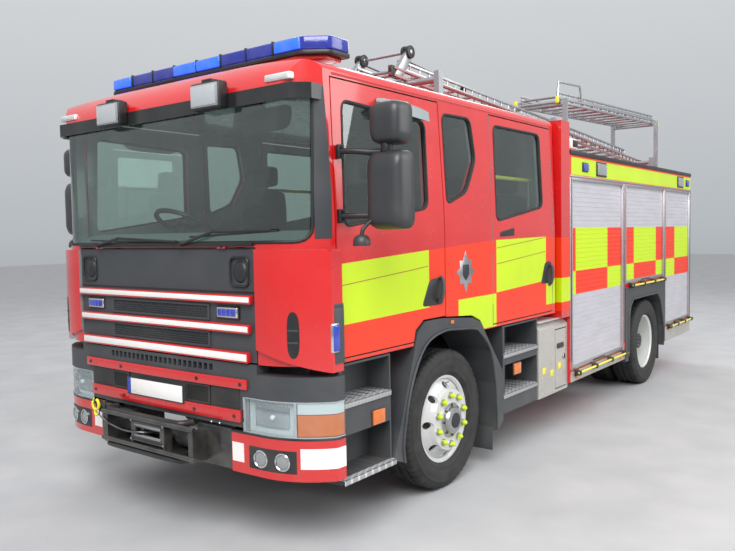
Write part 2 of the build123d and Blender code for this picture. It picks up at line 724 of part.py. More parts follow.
DOOR_NAMES = (("front", FRONT_DOOR, FRONT_WINDOW, FRONT_DOOR_EDGE),
              ("rear", REAR_DOOR, REAR_WINDOW, REAR_DOOR_EDGE))
for name, outline, window, edge in DOOR_NAMES:
    with BuildPart() as door:
        add(cab_skin)
        add(side_blank(outline, 0, 1), mode=Mode.INTERSECT)
        add(side_blank(window, 0, 1, WINDOW_R), mode=Mode.SUBTRACT)
        for z in DOOR_HINGE_Z:
            add(hinge_half(hinge_plane(1, CAB_HALF_W, edge, z), LEAF_SPANS, (9, 8), True))
    with BuildPart() as pane:
        add(glass_layer)
        add(side_blank(window, -SEAM, 1, WINDOW_R), mode=Mode.INTERSECT)
    members = panels(door.part, door_panels(window))
    save(Compound(children=members), f"{name}_door_left")
    save(Compound(children=[mirrored(member) for member in members]), f"{name}_door_right")
    save(pane.part, f"{name}_door_glass_left")
    save(mirrored(pane.part), f"{name}_door_glass_right")

# Nose: bumper, lamps and panels follow one plan outline, as (x, station)
NOSE_SHOULDER = (845, 4)
NOSE_CORNER = (1110, 70)
NOSE_END = (1258, 194)
NOSE_REAR = 262


def nose_curve(inset):
    """Points of the nose outline from its centre to its rear end, moved inwards."""
    return ((0, -14 + inset),
            (NOSE_SHOULDER[0] - 0.3 * inset, NOSE_SHOULDER[1] + inset),
            (NOSE_CORNER[0] - 0.7 * inset, NOSE_CORNER[1] + 0.75 * inset),
            (NOSE_END[0] - inset, NOSE_END[1] + 0.3 * inset),
            (NOSE_END[0] + 4 - inset, NOSE_REAR))


def nose_band(z, depth, x_span, proud=0):
    """Band along the nose outline, so deep, cut to an x span and a height span."""
    with BuildPart() as band:
        with BuildSketch(Plane.XY.offset(z[0])):
            with BuildLine():
                for inset in (-proud, depth):
                    points = [(px, y(ps)) for px, ps in nose_curve(inset)]
                    left = [(-px, py) for px, py in points]
                    ThreePointArc(left[1], points[0], points[1])
                    for side in (points, left):
                        ThreePointArc(side[1], side[2], side[3])
                        Line(side[3], side[4])
                ends = [nose_curve(inset)[4] for inset in (-proud, depth)]
                for side in (-1, 1):
                    Line(*[(side * px, y(ps)) for px, ps in ends])
            make_face()
        extrude(amount=z[1] - z[0])
        add(block(x_span, (-200, 400), z), mode=Mode.INTERSECT)
    return band.part


BAND_LOW = 870
BAND_MID = 1000
BAND_TOP = 1052
BUMPER_DEPTH = 95
BUMPER_BARS = ((910, 965, 780), (720, 787, 725))
PLATE_HALF = 262
INTAKE_SLOTS = 22
with BuildPart() as front_bumper:
    add(nose_band((BAND_LOW, BAND_MID), BUMPER_DEPTH, (-1300, 1300)))
    add(nose_band((BAND_MID, BAND_TOP), BUMPER_DEPTH, (-850, 850)))
    add(nose_band((690, BAND_LOW), BUMPER_DEPTH, (-728, 728)))
    for low, high, half in BUMPER_BARS:
        add(nose_band((low, high), 20, (-half, half), proud=14))
    add(block((-PLATE_HALF, PLATE_HALF), (-34, 0), (776, 880)))
    with BuildSketch(front_plane(30)):
        with Locations((0, 1012)):
            with GridLocations(46, 1, INTAKE_SLOTS, 1):
                Rectangle(30, 38)
    extrude(amount=60, mode=Mode.SUBTRACT)
    for side in (-1, 1):
        add(block(sorted((side * 350, side * RAIL_X)), (60, RAIL_START - SEAM), (700, 860)))
save(front_bumper.part, "front_bumper")

LAMP_INNER = 734
LAMP_LOW = 663
LAMP_DEPTH = 110
headlamp = nose_band((LAMP_LOW, BAND_LOW - SEAM), LAMP_DEPTH, (LAMP_INNER, 1300))
save(Compound(children=[headlamp, mirrored(headlamp)]), "headlamps")

CORNER_LOW = 430
CORNER_TOP = 657
CORNER_INNER = 640
WINCH_ARM_X = 440
with BuildPart() as bumper_corner:
    add(nose_band((CORNER_LOW, CORNER_TOP), 100, (CORNER_INNER, 1300)))
    with BuildSketch(front_plane(60)):
        with Locations((928, 531)):
            RectangleRounded(304, 114, 20)
    extrude(amount=110, mode=Mode.SUBTRACT)
    add(block((860, 994), (52, 66), (500, 562)))
    add(block((WINCH_ARM_X + SEAM, CORNER_INNER + 20), (30, 90), (510, 580)))
save(Compound(children=[bumper_corner.part, mirrored(bumper_corner.part)]), "bumper_corners")

PANEL_INNER = LID_HALF + SHUT_GAP
PANEL_BULGE = ((1120, 58), (1258, 170), (1258, 262))
VENT_X = 1098
with BuildPart() as corner_panel:
    with BuildSketch(Plane.XY.offset(BAND_MID)):
        with BuildLine():
            mid, end, rear = [(px, y(ps)) for px, ps in PANEL_BULGE]
            ThreePointArc((PANEL_INNER, y(-2)), mid, end)
            Polyline(end, rear, (1150, y(262)), (PANEL_INNER, y(100)), (PANEL_INNER, y(-2)))
        make_face()
    extrude(amount=700)
    add(front_slab(((PANEL_INNER, 1140), (1300, 1012), (1300, 1650), (1240, 1684),
                    (PANEL_INNER, 1690)), (-60, 300)), mode=Mode.INTERSECT)
    add(cab_form(-SEAM), mode=Mode.SUBTRACT)
    with BuildSketch(front_plane(46)):
        with Locations((VENT_X, 1230)):
            SlotCenterToCenter(190, 58, rotation=90)
    extrude(amount=120, mode=Mode.SUBTRACT)
save(Compound(children=[corner_panel.part, mirrored(corner_panel.part)]), "corner_panels")

# Grille panel: a lid hinged along its top edge
GRILLE_BARS = ((1390, 1436, 830), (1225, 1273, 815), (LID_BOTTOM, 1118, 800))
GRILLE_ROWS = ((1330, 2), (1172, 2))
GRILLE_COLUMNS = 24
LID_PLATE = 24
with BuildPart() as grille_panel:
    add(cab_outer)
    add(block((-LID_HALF, LID_HALF), (-60, LID_DEPTH), (LID_BOTTOM, LID_TOP)), mode=Mode.INTERSECT)
    add(block((-LID_HALF + 28, LID_HALF - 28), (LID_PLATE, LID_DEPTH), (LID_BOTTOM + 28, LID_TOP - 28)),
        mode=Mode.SUBTRACT)
    with BuildSketch(front_plane(LID_PLATE)):
        for z, rows in GRILLE_ROWS:
            with Locations((0, z)):
                with GridLocations(39, 40, GRILLE_COLUMNS, rows):
                    Rectangle(29, 30)
    extrude(amount=80, mode=Mode.SUBTRACT)
    with BuildSketch(front_plane(14)):
        with Locations((-730, 1565), (730, 1565)):
            RectangleRounded(135, 150, 26)
    extrude(amount=60, mode=Mode.SUBTRACT)
    for low, high, half in GRILLE_BARS:
        add(block((-half, half), (-18, LID_PLATE), (low, high)))
    for side in (-1, 1):
        lid_hinge = Plane(origin=(side * 600, y(LID_HINGE_S), LID_TOP + SHUT_GAP / 2),
                          x_dir=(0, 1, 0), z_dir=(1, 0, 0))
        add(hinge_half(lid_hinge, LEAF_SPANS, (16, -8), True))
save(grille_panel.part, "grille_panel")

# Winch between the frame's front ends, with a pin where its hook is parked
WINCH_TUBE_S = 18 - WINCH_REACH
DRUM_R = 46
DRUM_S = 40
HOOK_CENTRE = (-512, 690)
HOOK_RING = (21, 36)
PARK_PIN_R = 8
PARK_PIN = (HOOK_CENTRE[0], HOOK_CENTRE[1] + HOOK_RING[0] - PARK_PIN_R - SEAM)
FAIRLEAD = ((-153, 175), (-118, -106), (513, 645))
with BuildPart() as winch:
    for z in (485, 657):
        add(rod((-448, WINCH_TUBE_S, z), (455, WINCH_TUBE_S, z), 15))
    add(block((-430, 430), (-60, 240), (462, 474)))
    for side in (-1, 1):
        add(block(sorted((side * 400, side * WINCH_ARM_X)), (WINCH_TUBE_S, 320),
                  (462, RAIL_BOTTOM - SEAM)))
    add(rod((-400, 40, 560), (-150, 40, 560), 68))
    add(rod((-160, DRUM_S, 560), (180, DRUM_S, 560), DRUM_R))
    add(rod((170, 40, 560), (402, 40, 560), 74))
    add(block(*FAIRLEAD))
    add(block((-110, 132), (-WINCH_REACH - 10, -100), (552, 600)), mode=Mode.SUBTRACT)
    for x in (-148, 160):
        add(block((x, x + 12), (-119, -60), (470, 645)))
    add(block((-532, -436), (-115, -103), (642, 718)))
    add(rod((PARK_PIN[0], -112, PARK_PIN[1]), (PARK_PIN[0], -WINCH_REACH, PARK_PIN[1]), PARK_PIN_R))
save(winch.part, "winch")

# Wheel arches: front ones carried from the rails, rear ones under the body
REAR_ARCH = ((4990, 372), (5010, 850), (5140, 1012), (6000, 1012), (6130, 890), (6266, 610),
             (6266, 372))
REAR_ARCH_TOP = WELL_TOP - SEAM
LINER_X = 600
with BuildPart() as front_arch:
    with BuildSketch(side_plane(ARCH_INNER_X)):
        with BuildLine():
            Polyline(*stations(ARCH_OUTER + ARCH_INNER), close=True)
        make_face()
    extrude(amount=ARCH_OUTER_X - ARCH_INNER_X)
    add(side_slab(((2070, 127), (2084, 127), (2102, 300), (2088, 300)), (ARCH_INNER_X + 20, 1190)))
    add(block((RAIL_X + SEAM, ARCH_INNER_X + 10), (2100, 2150), (700, 740)))
    add(block((RAIL_X + SEAM, ARCH_INNER_X + 10), (842, 882), (560, 600)))
    add(block((RAIL_X + SEAM, RAIL_X + 40), (842, 882), (560, 720)))
with BuildPart() as rear_arch:
    with BuildSketch(side_plane(LINER_X)):
        with BuildLine():
            Polyline(*stations(REAR_ARCH), close=True)
        make_face()
        offset(amount=10, kind=Kind.INTERSECTION)
    extrude(amount=BODY_HALF - LINER_X)
    add(block((BODY_HALF - 34, BODY_HALF + 6), (WELL_START + SEAM, WELL_END - SEAM),
              (372, REAR_ARCH_TOP)))
    with BuildSketch(side_plane(LINER_X - 10)):
        with BuildLine():
            Polyline(*stations(REAR_ARCH), close=True)
        make_face()
    extrude(amount=BODY_HALF, mode=Mode.SUBTRACT)
    add(block((0, 1500), (4800, 6400), (200, 372)), mode=Mode.SUBTRACT)
    add(block((LINER_X + 30, 1190), (6268, 6276), (205, 600)))
arches = [front_arch.part, mirrored(front_arch.part), rear_arch.part, mirrored(rear_arch.part)]
save(Compound(children=arches), "wheel_arches")

# Steps under the cab doors: (station span, inner x, height span, recess height spans)
STEP_UNITS = (((268, 752), 1000, (375, 1046), ((412, 642), (822, 1034)), 620),
              ((2206, 2816), 900, (372, 1046), ((515, 745), (825, 1034)), 2500))
step_solids = []
for s, inner, z, recesses, arm in STEP_UNITS:
    with BuildPart() as unit:
        add(block((inner, CAB_HALF_W - 1), s, z))
        for low, high in recesses:
            add(block((inner + 45, CAB_HALF_W), (s[0] + 30, s[1] - 12), (low, high)),
                mode=Mode.SUBTRACT)
        add(block((RAIL_X + SEAM, inner + 5), (arm, arm + 44), (700, 742)))
    step_solids += [unit.part, mirrored(unit.part)]
save(Compound(children=step_solids), "cab_steps")

# Side locker with a hinged door, behind the left crew steps
LOCKER_X = (640, 1222)
LOCKER_S = (2826, 3424)
LOCKER_Z = (367, 1000)
LOCKER_WALL = 25
LOCKER_DOOR_S = (3168, 3396)
LOCKER_DOOR_Z = (402, 905)
LOCKER_HINGE_Z = (500, 800)
with BuildPart() as side_locker:
    add(block(LOCKER_X, LOCKER_S, LOCKER_Z))
    top_edges = side_locker.edges().filter_by(Axis.Y).group_by(Axis.Z)[-1]
    chamfer(top_edges.sort_by(Axis.X)[-1], 60)
    add(block((LOCKER_X[0] + LOCKER_WALL, LOCKER_X[1] - LOCKER_WALL),
              (LOCKER_S[0] + LOCKER_WALL, LOCKER_S[1] - LOCKER_WALL),
              (LOCKER_Z[0] + LOCKER_WALL, LOCKER_Z[1] - 70)), mode=Mode.SUBTRACT)
    add(block((LOCKER_X[1] - 60, LOCKER_X[1] + 10),
              (LOCKER_DOOR_S[0] - SHUT_GAP, LOCKER_DOOR_S[1] + SHUT_GAP),
              (LOCKER_DOOR_Z[0] - SHUT_GAP, LOCKER_DOOR_Z[1] + SHUT_GAP)), mode=Mode.SUBTRACT)
    add(block((RAIL_X + SEAM, LOCKER_X[0] + 5), (3000, 3060), (700, 760)))
    for z in LOCKER_HINGE_Z:
        add(hinge_half(hinge_plane(1, LOCKER_X[1], LOCKER_DOOR_S[0], z), POST_SPANS, (9, -8), False))
save(side_locker.part, "side_locker")

with BuildPart() as side_locker_door:
    add(block((LOCKER_X[1] - LOCKER_WALL, LOCKER_X[1]), LOCKER_DOOR_S, LOCKER_DOOR_Z))
    for z in LOCKER_HINGE_Z:
        add(hinge_half(hinge_plane(1, LOCKER_X[1], LOCKER_DOOR_S[0], z), LEAF_SPANS, (9, 8), True))
save(side_locker_door.part, "side_locker_door")

# On the cab: visor, wipers, light bar, mirrors
with BuildPart() as sun_visor:
    add(cab_form(-42))
    add(cab_form(-SEAM), mode=Mode.SUBTRACT)
    add(block((-1190, 1190), (-90, 232), (VISOR_BOTTOM, HEADER_BOTTOM)), mode=Mode.INTERSECT)
save(sun_visor.part, "sun_visor")

WIPERS = (((-586, -26, 1721), (-337, -34, 1763), (220, -20, 1737)),
          ((268, -26, 1721), (555, -30, 1790), (1000, -12, 1792)))
WIPER_BOSS_R = 12
wiper_solids = []
for pivot, elbow, tip in WIPERS:
    foot = NOSE_SAG * ((abs(pivot[0]) - WIPER_BOSS_R) / CAB_CORNER_X)**2 - SEAM
    with BuildPart() as arm:
        add(rod(pivot, elbow, 9))
        add(rod(elbow, tip, 8))
        add(rod((pivot[0], foot, pivot[2]), (pivot[0], pivot[1] - 10, pivot[2]), WIPER_BOSS_R))
    wiper_solids.append(arm.part)
save(Compound(children=wiper_solids), "wipers")

LIGHT_BAR = ((-912, 357), (912, 357), (1054, 462), (1054, 640), (-1054, 640), (-1054, 462))
with BuildPart() as light_bar:
    with BuildSketch(Plane.XY.offset(2792)):
        with BuildLine():
            Polyline(*[(px, y(ps)) for px, ps in LIGHT_BAR], close=True)
        make_face()
    extrude(amount=108)
    for x in (-720, 640):
        add(block((x, x + 80), (470, 560), (2650, 2800)))
    add(cab_form(-SEAM), mode=Mode.SUBTRACT)
save(light_bar.part, "light_bar")

MIRROR_S = (330, 470)
MIRROR_HEADS = (((1360, 1598), (1784, 2206)), ((1385, 1590), (2238, 2462)))
ARM_ROOT_X = CAB_HALF_W - 8
with BuildPart() as mirror_left:
    for (x0, x1), (z0, z1) in MIRROR_HEADS:
        with BuildSketch(front_plane(MIRROR_S[1])):
            with Locations(((x0 + x1) / 2, (z0 + z1) / 2)):
                RectangleRounded(x1 - x0, z1 - z0, 50)
        extrude(amount=MIRROR_S[1] - MIRROR_S[0])
    add(rod((1470, 400, 2190), (1470, 400, 2260), 40))
    add(rod((CAB_HALF_W + 3, 300, 2211), (1440, 390, 2200), 17))
    add(rod((CAB_HALF_W + 3, 300, 1862), (1440, 390, 1862), 17))
    with BuildSketch(Plane(origin=(1375, y(290), 1700))):
        Circle(46)
    extrude(amount=62)
    add(rod((1375, 290, 1740), (1400, 350, 1830), 12))
    for z in (2211, 1862):
        add(block((ARM_ROOT_X, CAB_HALF_W + 22), (286, 330), (z - 36, z + 36)))
    add(cab_form(-SEAM), mode=Mode.SUBTRACT)
save(mirror_left.part, "mirror_left")
save(mirrored(mirror_left.part), "mirror_right")

# Cab interior
cab_room = cab_form(CAB_WALL + 2 * SEAM)
with BuildPart() as dashboard:
    add(side_slab(((FIREWALL_BACK + SEAM, 1455), (FIREWALL_BACK + SEAM, 1735), (300, 1790),
                   (480, 1740), (500, 1640), (420, 1455)), (-1120, 1120)))
    add(cab_room, mode=Mode.INTERSECT)
save(dashboard.part, "dashboard")

WHEEL_CENTRE = (-520, 640, 1840)
WHEEL_TILT = 62
WHEEL_R = 215
with BuildPart() as steering_wheel:
    column = Vector(0, -cos(radians(WHEEL_TILT)), -sin(radians(WHEEL_TILT)))
    centre = Vector(WHEEL_CENTRE[0], y(WHEEL_CENTRE[1]), WHEEL_CENTRE[2])
    face = Plane(origin=centre, x_dir=(1, 0, 0), z_dir=-column)
    with BuildSketch(face):
        Circle(WHEEL_R + 14)
        Circle(WHEEL_R - 14, mode=Mode.SUBTRACT)
        Rectangle(2 * WHEEL_R - 10, 36)
        Circle(62)
    extrude(amount=24)
    with BuildSketch(face):
        Circle(26)
    extrude(amount=-260)
    add(side_slab(((480, 1640), (480, 1790), (560, 1720), (620, 1560), (480, 1500)), (-600, -440)))
    add(dashboard.part, mode=Mode.SUBTRACT)
save(steering_wheel.part, "steering_wheel")

SEAT_BASE = TUNNEL_TOP + TUNNEL_WALL + SEAM
FRONT_SEAT = ((980, SEAT_BASE), (980, 1630), (1020, 1680), (1400, 1660), (1470, 2330), (1580, 2330),
              (1520, SEAT_BASE))
BENCH = ((2560, CAB_BOTTOM + CAB_WALL + SEAM), (2560, 1560), (2960, 1560), (3010, 2280),
         (3110, 2280), (3110, CAB_BOTTOM + CAB_WALL + SEAM))
seat_solids = [side_slab(FRONT_SEAT, (310, 800)), side_slab(FRONT_SEAT, (-800, -310)),
               side_slab(BENCH, (-1090, 1090))]
save(Compound(children=seat_solids), "seats")

# Body: lockers behind roller shutters on each side, pump bay at the rear
BAYS = ((3475, 4828, 503), (4912, 6275, 1182), (6330, 7408, 587))
SHUTTER_T = 14
SHUTTER_RECESS = 16
REAR_BAY_HALF = 600
REAR_BAY_FRONT = 6760
REAR_BAY_LOW = 1032
with BuildPart() as body_shell:
    add(block((-BODY_HALF, BODY_HALF), (BODY_START, BODY_END), (BODY_BOTTOM, BODY_ROOF)))
    add(block((-BODY_HALF, BODY_HALF), (POST_START, BODY_START), (LOCKER_Z[1] + 2, HEADBOARD_TOP)))
    add(block((-TUNNEL_BODY_HALF, TUNNEL_BODY_HALF), (POST_START - 10, BODY_END + 10),
              (BODY_BOTTOM - 10, DECK_Z)), mode=Mode.SUBTRACT)
    add(block((-RAIL_X, RAIL_X), (BODY_START + 60, BODY_END - 200),
              (RAIL_BOTTOM + RAIL_H + SEAM, DECK_Z + 5)))
    for side in (-1, 1):
        well = sorted((side * (TUNNEL_BODY_HALF - 5), side * (BODY_HALF + 10)))
        add(block(well, (WELL_START, WELL_END), (BODY_BOTTOM - 10, WELL_TOP)), mode=Mode.SUBTRACT)
        for start, end, low in BAYS:
            bay = sorted((side * (BODY_HALF - LOCKER_DEPTH), side * (BODY_HALF + 10)))
            add(block(bay, (start, end), (low, BAND_BOTTOM)), mode=Mode.SUBTRACT)
        drums = sorted((side * (REAR_BAY_HALF + BODY_WALL), side * (BODY_HALF - BODY_WALL)))
        add(block(drums, (BAYS[0][0], BAYS[-1][1]), (BAND_BOTTOM + BODY_WALL, BODY_ROOF - BODY_WALL)),
            mode=Mode.SUBTRACT)
    add(block((-REAR_BAY_HALF, REAR_BAY_HALF), (POST_START + BODY_WALL, REAR_BAY_FRONT - 50),
              (REAR_BAY_LOW, BODY_ROOF - BODY_WALL)), mode=Mode.SUBTRACT)
    add(block((-REAR_BAY_HALF, REAR_BAY_HALF), (REAR_BAY_FRONT, BODY_END + 10),
              (REAR_BAY_LOW, BAND_BOTTOM)), mode=Mode.SUBTRACT)
ROOF_BOTTOM = BODY_ROOF - BODY_WALL
BODY_PANELS = (((-REACH, REACH), (-REACH, BODY_START), (0, REACH)),
               ((-REACH, REACH), (BODY_START, REACH), (ROOF_BOTTOM, REACH)),
               ((-REACH, -REAR_BAY_HALF), (BODY_START, REACH), (0, ROOF_BOTTOM)),
               ((-REAR_BAY_HALF, REAR_BAY_HALF), (BODY_START, REACH), (0, ROOF_BOTTOM)),
               ((REAR_BAY_HALF, REACH), (BODY_START, REACH), (0, ROOF_BOTTOM)))
save(Compound(children=panels(body_shell.part, BODY_PANELS)), "body_shell")

SLAT_PITCH = 42
SLAT_GROOVE = 7
GROOVE_DEPTH = 3


def curtain(face, low, high):
    """Outline of a slatted shutter curtain as (outwards, height), outer face at face."""
    count = round((high - low) / SLAT_PITCH)
    pitch = (high - low) / count
    points = [(face - SHUTTER_T, high), (face - SHUTTER_T, low)]
    for i in range(count):
        z = low + i * pitch
        points.append((face, z))
        if i < count - 1:
            points.append((face, z + pitch - SLAT_GROOVE))
            points.append((face - GROOVE_DEPTH, z + pitch - SLAT_GROOVE + 2))
            points.append((face - GROOVE_DEPTH, z + pitch - 2))
    points.append((face, high))
    return points


shutters = []
for start, end, low in BAYS:
    outline = curtain(BODY_HALF - SHUTTER_RECESS, low + SEAM, BAND_BOTTOM - SEAM)
    slab = front_slab(outline, (start + SEAM, end - SEAM))
    shutters += [slab, mirrored(slab)]
outline = curtain(BODY_END - SHUTTER_RECESS, REAR_BAY_LOW + SEAM, BAND_BOTTOM - SEAM)
shutters.append(side_slab(outline, (SEAM - REAR_BAY_HALF, REAR_BAY_HALF - SEAM)))
save(Compound(children=shutters), "roller_shutters")

# Yellow rails below the shutters: (start, end, height)
GRAB_RAILS = ((3510, 4880, 477), (5000, 6230, 1164), (6410, 7450, 573))
GRAB_R = 11
GRAB_X = BODY_HALF + 34
rails = []
for start, end, z in GRAB_RAILS:
    with BuildPart() as rail:
        add(rod((GRAB_X, start, z), (GRAB_X, end, z), GRAB_R))
        for i in range(4):
            at = start + 40 + i * (end - start - 110) / 3
            add(block((BODY_HALF + SEAM, GRAB_X), (at, at + 30), (z - 9, z + 9)))
    rails += [rail.part, mirrored(rail.part)]
save(Compound(children=rails), "grab_rails")

TAIL_LAMP = block((1010, 1200), (BODY_END + SEAM, BODY_END + 32), (600, 760))
save(Compound(children=[TAIL_LAMP, mirrored(TAIL_LAMP)]), "tail_lamps")

with BuildPart() as rear_bumper:
    add(block((-1150, 1150), (BODY_END + 6, BODY_END + 66), (430, 540)))
    for side in (-1, 1):
        add(block(sorted((side * 350, side * RAIL_X)), (RAIL_END + SEAM, BODY_END + 10), (440, 900)))
save(rear_bumper.part, "rear_bumper")

TOW_BORE_R = 20
TOW_S = 7400
with BuildPart() as tow_jaw:
    add(block((-70, 70), (CROSSMEMBERS[-1] + 30 + SEAM, 7340), (720, 860)))
    for z in (724, 826):
        with BuildSketch(Plane.XY.offset(z)):
            with Locations((0, y(TOW_S))):
                Circle(52)
            with Locations((0, y(7365))):
                Rectangle(104, 70)
        extrude(amount=30)
    with BuildSketch(Plane.XY.offset(724)):
        with Locations((0, y(TOW_S))):
            Circle(TOW_BORE_R)
    extrude(amount=132, mode=Mode.SUBTRACT)
save(tow_jaw.part, "tow_jaw")

# Ladders on the roof: the main one slides rearwards down its slope, over rollers
SLOPE = atan(LADDER_DROP)
LADDER_L = (LADDER_TAIL - LADDER_HEAD - STRING_H * sin(SLOPE)) / cos(SLOPE)


def ladder_z(station):
    """Height of the main ladder's underside at a station."""
    return LADDER_HEAD_Z - LADDER_DROP * (station - LADDER_HEAD)


def ladder_plane(start, z, slope):
    """Plane on a ladder's underside: x along it rearwards, z square to it."""
    return Plane(origin=(LADDER_X, y(start), z), x_dir=(0, cos(slope), -sin(slope)),
                 z_dir=(0, sin(slope), cos(slope)))


def ladder_section(plane, span, height, width):
    """Two strings and their rungs, from x span[0] to span[1] at a height on a plane."""
    length = span[1] - span[0]
    middle = (span[0] + span[1]) / 2
    with BuildPart() as section:
        with BuildSketch(plane.offset(height)):
            with Locations((middle, 0)):
                with GridLocations(1, width - STRING_W, 1, 2):
                    Rectangle(length, STRING_W)
        extrude(amount=STRING_H)
        rungs = int((length - 160) / RUNG_PITCH) + 1
        across = Plane(origin=plane.origin, x_dir=plane.x_dir, z_dir=-plane.y_dir)
        with BuildSketch(across.offset(5 - width / 2)):
            with Locations((middle, height + STRING_H / 2)):
                with GridLocations(RUNG_PITCH, 1, rungs, 1):
                    Circle(RUNG_R)
        extrude(amount=width - 10)
    return section.part


main_plane = ladder_plane(LADDER_HEAD, LADDER_HEAD_Z, SLOPE)
FLY_H = STRING_H + 4
FLY_SPAN = (160, LADDER_L - 560)
with BuildPart() as main_ladder:
    add(ladder_section(main_plane, (0, LADDER_L), 0, LADDER_W))
    add(ladder_section(main_plane, FLY_SPAN, FLY_H, LADDER_W - 8))
    with BuildSketch(main_plane.offset(STRING_H - 10)):
        with Locations((FLY_SPAN[0] + 60, 0), (LADDER_L / 2, 0), (FLY_SPAN[1] - 60, 0)):
            with GridLocations(1, LADDER_W - STRING_W, 1, 2):
                Rectangle(90, STRING_W - 6)
    extrude(amount=30)
    with BuildSketch(main_plane.offset(FLY_H + STRING_H - 10)):
        with Locations((FLY_SPAN[0] + 90, 0)):
            with GridLocations(1, LADDER_W - STRING_W, 1, 2):
                Rectangle(70, STRING_W - 8)
    extrude(amount=100)
    head = Plane(origin=main_plane.origin, x_dir=main_plane.x_dir, z_dir=-main_plane.y_dir)
    with BuildSketch(head.offset(10 - LADDER_W / 2)):
        with Locations((FLY_SPAN[0] + 90, FLY_H + STRING_H + 70)):
            Circle(16)
    extrude(amount=LADDER_W - 20)
    with BuildSketch(head.offset(-20)):
        with Locations((FLY_SPAN[0] + 90, FLY_H + STRING_H + 70)):
            Circle(52)
    extrude(amount=40)
save(main_ladder.part, "main_ladder")

SECOND_START = 4260
SECOND_Z = 3030
SECOND_SLOPE = -atan(0.036)
SECOND_L = (LADDER_TAIL - 30 - SECOND_START) / cos(SECOND_SLOPE)
second_plane = ladder_plane(SECOND_START, SECOND_Z, SECOND_SLOPE)
HOOP = ((20, STRING_H - 5), (40, 210), (600, 225), (660, STRING_H - 5))
with BuildPart() as second_ladder:
    add(ladder_section(second_plane, (0, SECOND_L), 0, LADDER_W))
    hoop_plane = Plane(origin=second_plane.origin, x_dir=second_plane.x_dir,
                       z_dir=-second_plane.y_dir).offset(LADDER_W / 2 - STRING_W / 2)
    with BuildLine(hoop_plane) as hoop_path:
        FilletPolyline(*HOOP, radius=90)
    with BuildSketch(Plane(origin=hoop_path.line @ 0, z_dir=hoop_path.line % 0)):
        Circle(12)
    sweep()
save(second_ladder.part, "second_ladder")

# Gantry: rollers under the main ladder, and frames that hold the second one over it
ROLLER_STATIONS = (1950, 4050, 7150)
FRAME_STATIONS = (4330, 7350)
POST_W = 44
POST_GAP = 12
post_x = LADDER_W / 2 + POST_GAP + POST_W / 2
CAB_FOOT_Z = 2600
with BuildPart() as roof_gantry:
    for station in ROLLER_STATIONS:
        foot = CAB_FOOT_Z if station < POST_START else BODY_ROOF + SEAM
        axle_z = ladder_z(station) - (ROLLER_R + SEAM) / cos(SLOPE)
        for side in (-1, 1):
            x = LADDER_X + side * post_x
            add(block((x - POST_W / 2, x + POST_W / 2), (station - 30, station + 30),
                      (foot, axle_z + 60)))
        add(rod((LADDER_X - post_x, station, axle_z), (LADDER_X + post_x, station, axle_z),
                ROLLER_R))
    for station in FRAME_STATIONS:
        rest = SECOND_Z + 0.036 * (station - SECOND_START)
        for side in (-1, 1):
            x = LADDER_X + side * post_x
            add(block((x - POST_W / 2, x + POST_W / 2), (station - 22, station + 22),
                      (BODY_ROOF + SEAM, rest + 40)))
        add(rod((LADDER_X - post_x, station, rest - 16.5), (LADDER_X + post_x, station, rest - 16.5),
                16))
    for x in (LADDER_X - post_x, LADDER_X + post_x):
        add(block((x - 20, x + 20), (ROLLER_STATIONS[1] - 30, FRAME_STATIONS[1] + 22),
                  (BODY_ROOF + SEAM, BODY_ROOF + 40)))
    add(block((LADDER_X - post_x, LADDER_X + post_x), (4030, 4070), (BODY_ROOF + SEAM, BODY_ROOF + 40)))
    add(cab_form(-SEAM), mode=Mode.SUBTRACT)
save(roof_gantry.part, "roof_gantry")

# Winch rope, from the drum out through the fairlead to a hook parked on its pin
ROPE_R = 5
HOOK_S = (-138, -122)
ROPE = ((-20, DRUM_S - DRUM_R - 3 * SEAM, 560), (-24, -75, 566), (-66, -130, 572), (-150, -131, 564),
        (-246, -131, 565), (-346, -131, 580), (-426, -131, 599), (-478, -130, 628))


def turn_radii(route):
    """Largest arc radius that each inner corner of a route allows."""
    found = []
    for before, at, after in zip(route, route[1:], route[2:]):
        turn = radians((at - before).get_angle(after - at))
        shorter = min((at - before).length, (after - at).length)
        found.append(0.45 * shorter * cos(turn / 2) / sin(turn / 2))
    return found


with BuildPart() as winch_rope:
    route = [Vector(px, y(ps), pz) for px, ps, pz in ROPE]
    radii = turn_radii(route)
    with BuildLine() as rope_path:
        FilletPolyline(*route, radius=radii)
    with BuildSketch(Plane(origin=rope_path.line @ 0, z_dir=rope_path.line % 0)):
        Circle(ROPE_R)
    sweep()
save(winch_rope.part, "winch_rope")

with BuildPart() as winch_hook:
    with BuildSketch(front_plane(HOOK_S[1])):
        with Locations(HOOK_CENTRE):
            Circle(HOOK_RING[1])
            Circle(HOOK_RING[0], mode=Mode.SUBTRACT)
            with Locations((-30, -14)):
                Rectangle(40, 22, mode=Mode.SUBTRACT)
    extrude(amount=HOOK_S[1] - HOOK_S[0])
    lead = (route[-1] - route[-2]).normalized()
    with BuildSketch(Plane(origin=route[-1] + lead * SEAM, z_dir=lead)):
        Circle(9)
    extrude(amount=46)
    with BuildSketch(front_plane(HOOK_S[1] - 2)):
        with Locations(HOOK_CENTRE):
            Circle(HOOK_RING[0])
    extrude(amount=40, mode=Mode.SUBTRACT)
save(winch_hook.part, "winch_hook")
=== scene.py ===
"""Looks of the crew-cab fire engine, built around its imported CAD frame.

Shapes are written in millimetres as (x, station, z). A station is a distance
behind the grille's face, x is the vehicle's left and z is the height.
"""
from __future__ import annotations

import bisect
import logging
import math
from dataclasses import dataclass
from enum import Enum
from typing import Any, Callable, Iterable, Sequence

import bmesh
import bpy
from mathutils import Matrix, Vector

